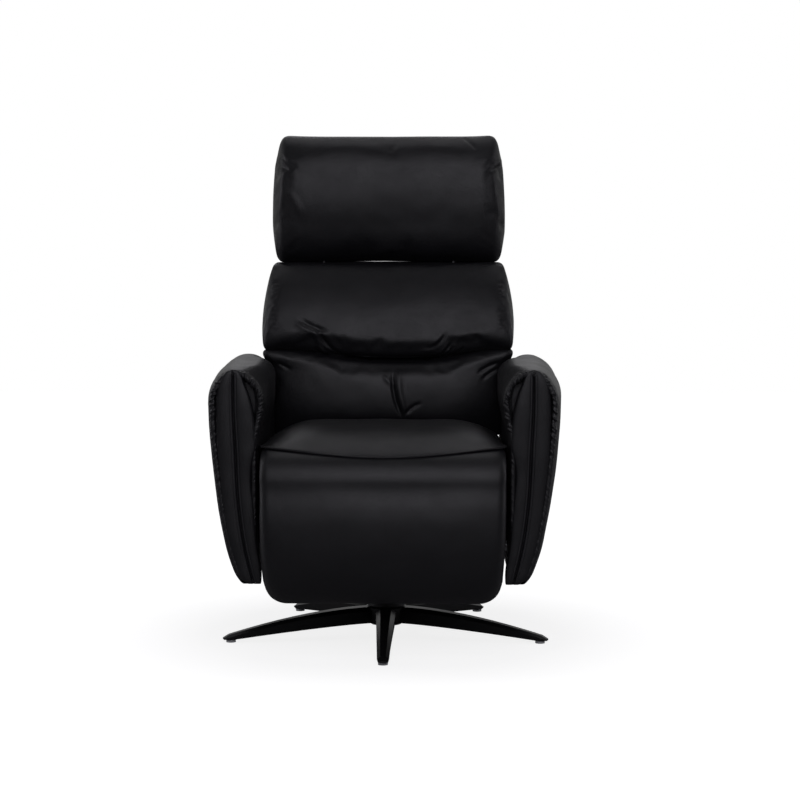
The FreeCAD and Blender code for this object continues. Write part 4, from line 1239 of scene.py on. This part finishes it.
def make_plastic(name, dark, light, roughness, grain):
    made, tree, shader, place = new_material(name, light, roughness)
    spark = add_noise(tree, place, 900, 2.0)
    tint(tree, shader, add_noise(tree, place, 12), dark, light)
    polish = from_noise(tree, spark, roughness - 0.05, roughness + 0.06)
    tree.links.new(polish, shader.inputs["Roughness"])
    add_bump(tree, shader, spark, grain)
    return made


def make_clear_nylon():
    made = make_plastic("clear_nylon", (0.62, 0.64, 0.66), (0.74, 0.75, 0.76), 0.4, 0.00005)
    shader = made.node_tree.nodes["Principled BSDF"]
    shader.inputs["Transmission Weight"].default_value = 0.35
    return made


SLOT_MATERIALS = {
    "black_leather": hide,
    "black_powder_coat": make_coat("black_powder_coat", (0.006, 0.006, 0.0065), 0.30, 0.38, 0.00004),
    "dark_steel": make_coat("dark_steel", (0.012, 0.012, 0.013), 0.42, 0.52, 0.00005),
    "zinc_steel": make_zinc(),
    "plywood": make_plywood(),
    "clear_nylon": make_clear_nylon(),
    "white_nylon": make_plastic("white_nylon", (0.70, 0.70, 0.66), (0.80, 0.80, 0.76), 0.42, 0.00004),
    "webbing": make_webbing(),
    "black_plastic": make_plastic(
        "black_plastic", (0.012, 0.012, 0.012), (0.018, 0.018, 0.018), 0.5, 0.00008
    ),
    "button_rubber": make_plastic(
        "button_rubber", (0.030, 0.030, 0.032), (0.042, 0.042, 0.045), 0.6, 0.00005
    ),
}

for subpart in frame["record"]["subparts"]:
    piece = bpy.data.objects[subpart["node"]]
    piece.data.materials.clear()
    piece.data.materials.append(SLOT_MATERIALS[subpart["material_slot"]])
skirt.data.materials.append(SLOT_MATERIALS["webbing"])
thread = make_plastic("sewing_thread", (0.045, 0.045, 0.050), (0.070, 0.070, 0.076), 0.45, 0.00003)
for row in stitches:
    row.data.materials.append(thread)
print("materials:", ", ".join(SLOT_MATERIALS))

# %% [markdown]
# ## The camera and the studio
#
# The photograph was taken from five metres with a long lens, a little above the middle of the
# chair, so its lines hardly converge. The chair stands just left of the picture's middle, which
# a small lens shift gives. The room is white; big soft boxes in front, above, behind and at both
# sides draw the long highlights on the leather. Their light is slightly cool.

# %% Camera
CAMERA_DISTANCE = 5.0
CAMERA_HEIGHT = 0.932
CAMERA_TURN = math.radians(1.1)
CAMERA_PITCH = math.radians(4.63)
IMAGE_WIDTH = 800
FOCAL_PIXELS = 2245
AXIS_LEFT_OF_MIDDLE = 13.7

lens = bpy.data.cameras.new("studio_camera")
lens.sensor_width = 36
lens.lens = lens.sensor_width * FOCAL_PIXELS / IMAGE_WIDTH
lens.shift_x = AXIS_LEFT_OF_MIDDLE / IMAGE_WIDTH
camera = bpy.data.objects.new("studio_camera", lens)
bpy.context.scene.collection.objects.link(camera)
camera.location = (
    CAMERA_DISTANCE * math.sin(CAMERA_TURN),
    -CAMERA_DISTANCE * math.cos(CAMERA_TURN),
    CAMERA_HEIGHT,
)
camera.rotation_euler = (math.pi / 2 - CAMERA_PITCH, 0, CAMERA_TURN)
bpy.context.scene.camera = camera
print("lens:", round(lens.lens, 1), "mm")


# %% Light
LAMP_COLOUR = (0.94, 0.92, 1.0)


def soft_box(name, place, aim, width, height, power):
    light = bpy.data.lights.new(name, "AREA")
    light.shape = "RECTANGLE"
    light.size = width
    light.size_y = height
    light.energy = power
    light.color = LAMP_COLOUR
    box = bpy.data.objects.new(name, light)
    bpy.context.scene.collection.objects.link(box)
    box.location = place
    box.rotation_euler = (Vector(aim) - Vector(place)).to_track_quat("-Z", "Y").to_euler()


soft_box("key_box", (0.3, -4.3, 2.15), (0, -0.2, 0.75), 3.0, 1.8, 43)
soft_box("high_box", (0, -2.7, 2.9), (0, 0.1, 0.7), 2.4, 0.7, 9)
soft_box("top_box", (0, 0.5, 3.0), (0, 0.2, 0.6), 2.2, 0.9, 5)
soft_box("left_strip", (-2.4, 0.0, 1.1), (0, -0.1, 0.6), 0.6, 2.0, 9)
soft_box("right_strip", (2.4, 0.0, 1.1), (0, -0.1, 0.6), 0.6, 2.0, 6)
soft_box("rear_box", (0, 2.8, 2.6), (0, 0.2, 0.8), 2.4, 1.2, 9)


# %% [markdown]
# The white of the background does not come from more light. The world and the floor look white only to the
# camera and in reflections, by way of the Light Path node, and the floor still takes the chair's shadow.


# %% Background and floor
def make_world():
    """White to the camera; in reflections white behind the chair and dark behind the camera."""
    world = bpy.data.worlds.new("white_room")
    bpy.context.scene.world = world
    world.use_nodes = True
    tree = world.node_tree
    sky = tree.nodes["Background"]
    sky.inputs["Color"].default_value = (1, 1, 1, 1)
    path = tree.nodes.new("ShaderNodeLightPath")
    way = tree.nodes.new("ShaderNodeSeparateXYZ")
    tree.links.new(tree.nodes.new("ShaderNodeTexCoord").outputs["Generated"], way.inputs["Vector"])
    room = map_range(tree, way.outputs["Y"], -0.25, 0.55, 0.03, 0.42)
    glossy = combine(tree, "MULTIPLY", room, path.outputs["Is Glossy Ray"])
    seen = combine(tree, "MAXIMUM", path.outputs["Is Camera Ray"], path.outputs["Is Transmission Ray"])
    seen = combine(tree, "MAXIMUM", seen, glossy)
    tree.links.new(combine(tree, "MAXIMUM", seen, 0.04), sky.inputs["Strength"])


def make_floor():
    """Pale and matt; it takes the shadow near the chair and turns to pure white further out."""
    bpy.ops.object.select_all(action="DESELECT")
    bpy.ops.mesh.primitive_plane_add(size=14)
    floor = bpy.context.object
    floor.name = "studio_floor"
    made, tree, shader, place = new_material("pale_floor", (0.4, 0.4, 0.4), 0.9)
    shader.inputs["Specular IOR Level"].default_value = 0.0
    shader.inputs["Emission Color"].default_value = (1, 1, 1, 1)
    far = tree.nodes.new("ShaderNodeVectorMath")
    far.operation = "LENGTH"
    tree.links.new(place, far.inputs[0])
    whiter = map_range(tree, far.outputs["Value"], 0.40, 0.88, 0.83, 1.0)
    path = tree.nodes.new("ShaderNodeLightPath")
    glow = combine(tree, "MULTIPLY", whiter, path.outputs["Is Camera Ray"])
    tree.links.new(glow, shader.inputs["Emission Strength"])
    floor.data.materials.append(made)


make_world()
make_floor()
bpy.context.scene.view_settings.view_transform = "Standard"
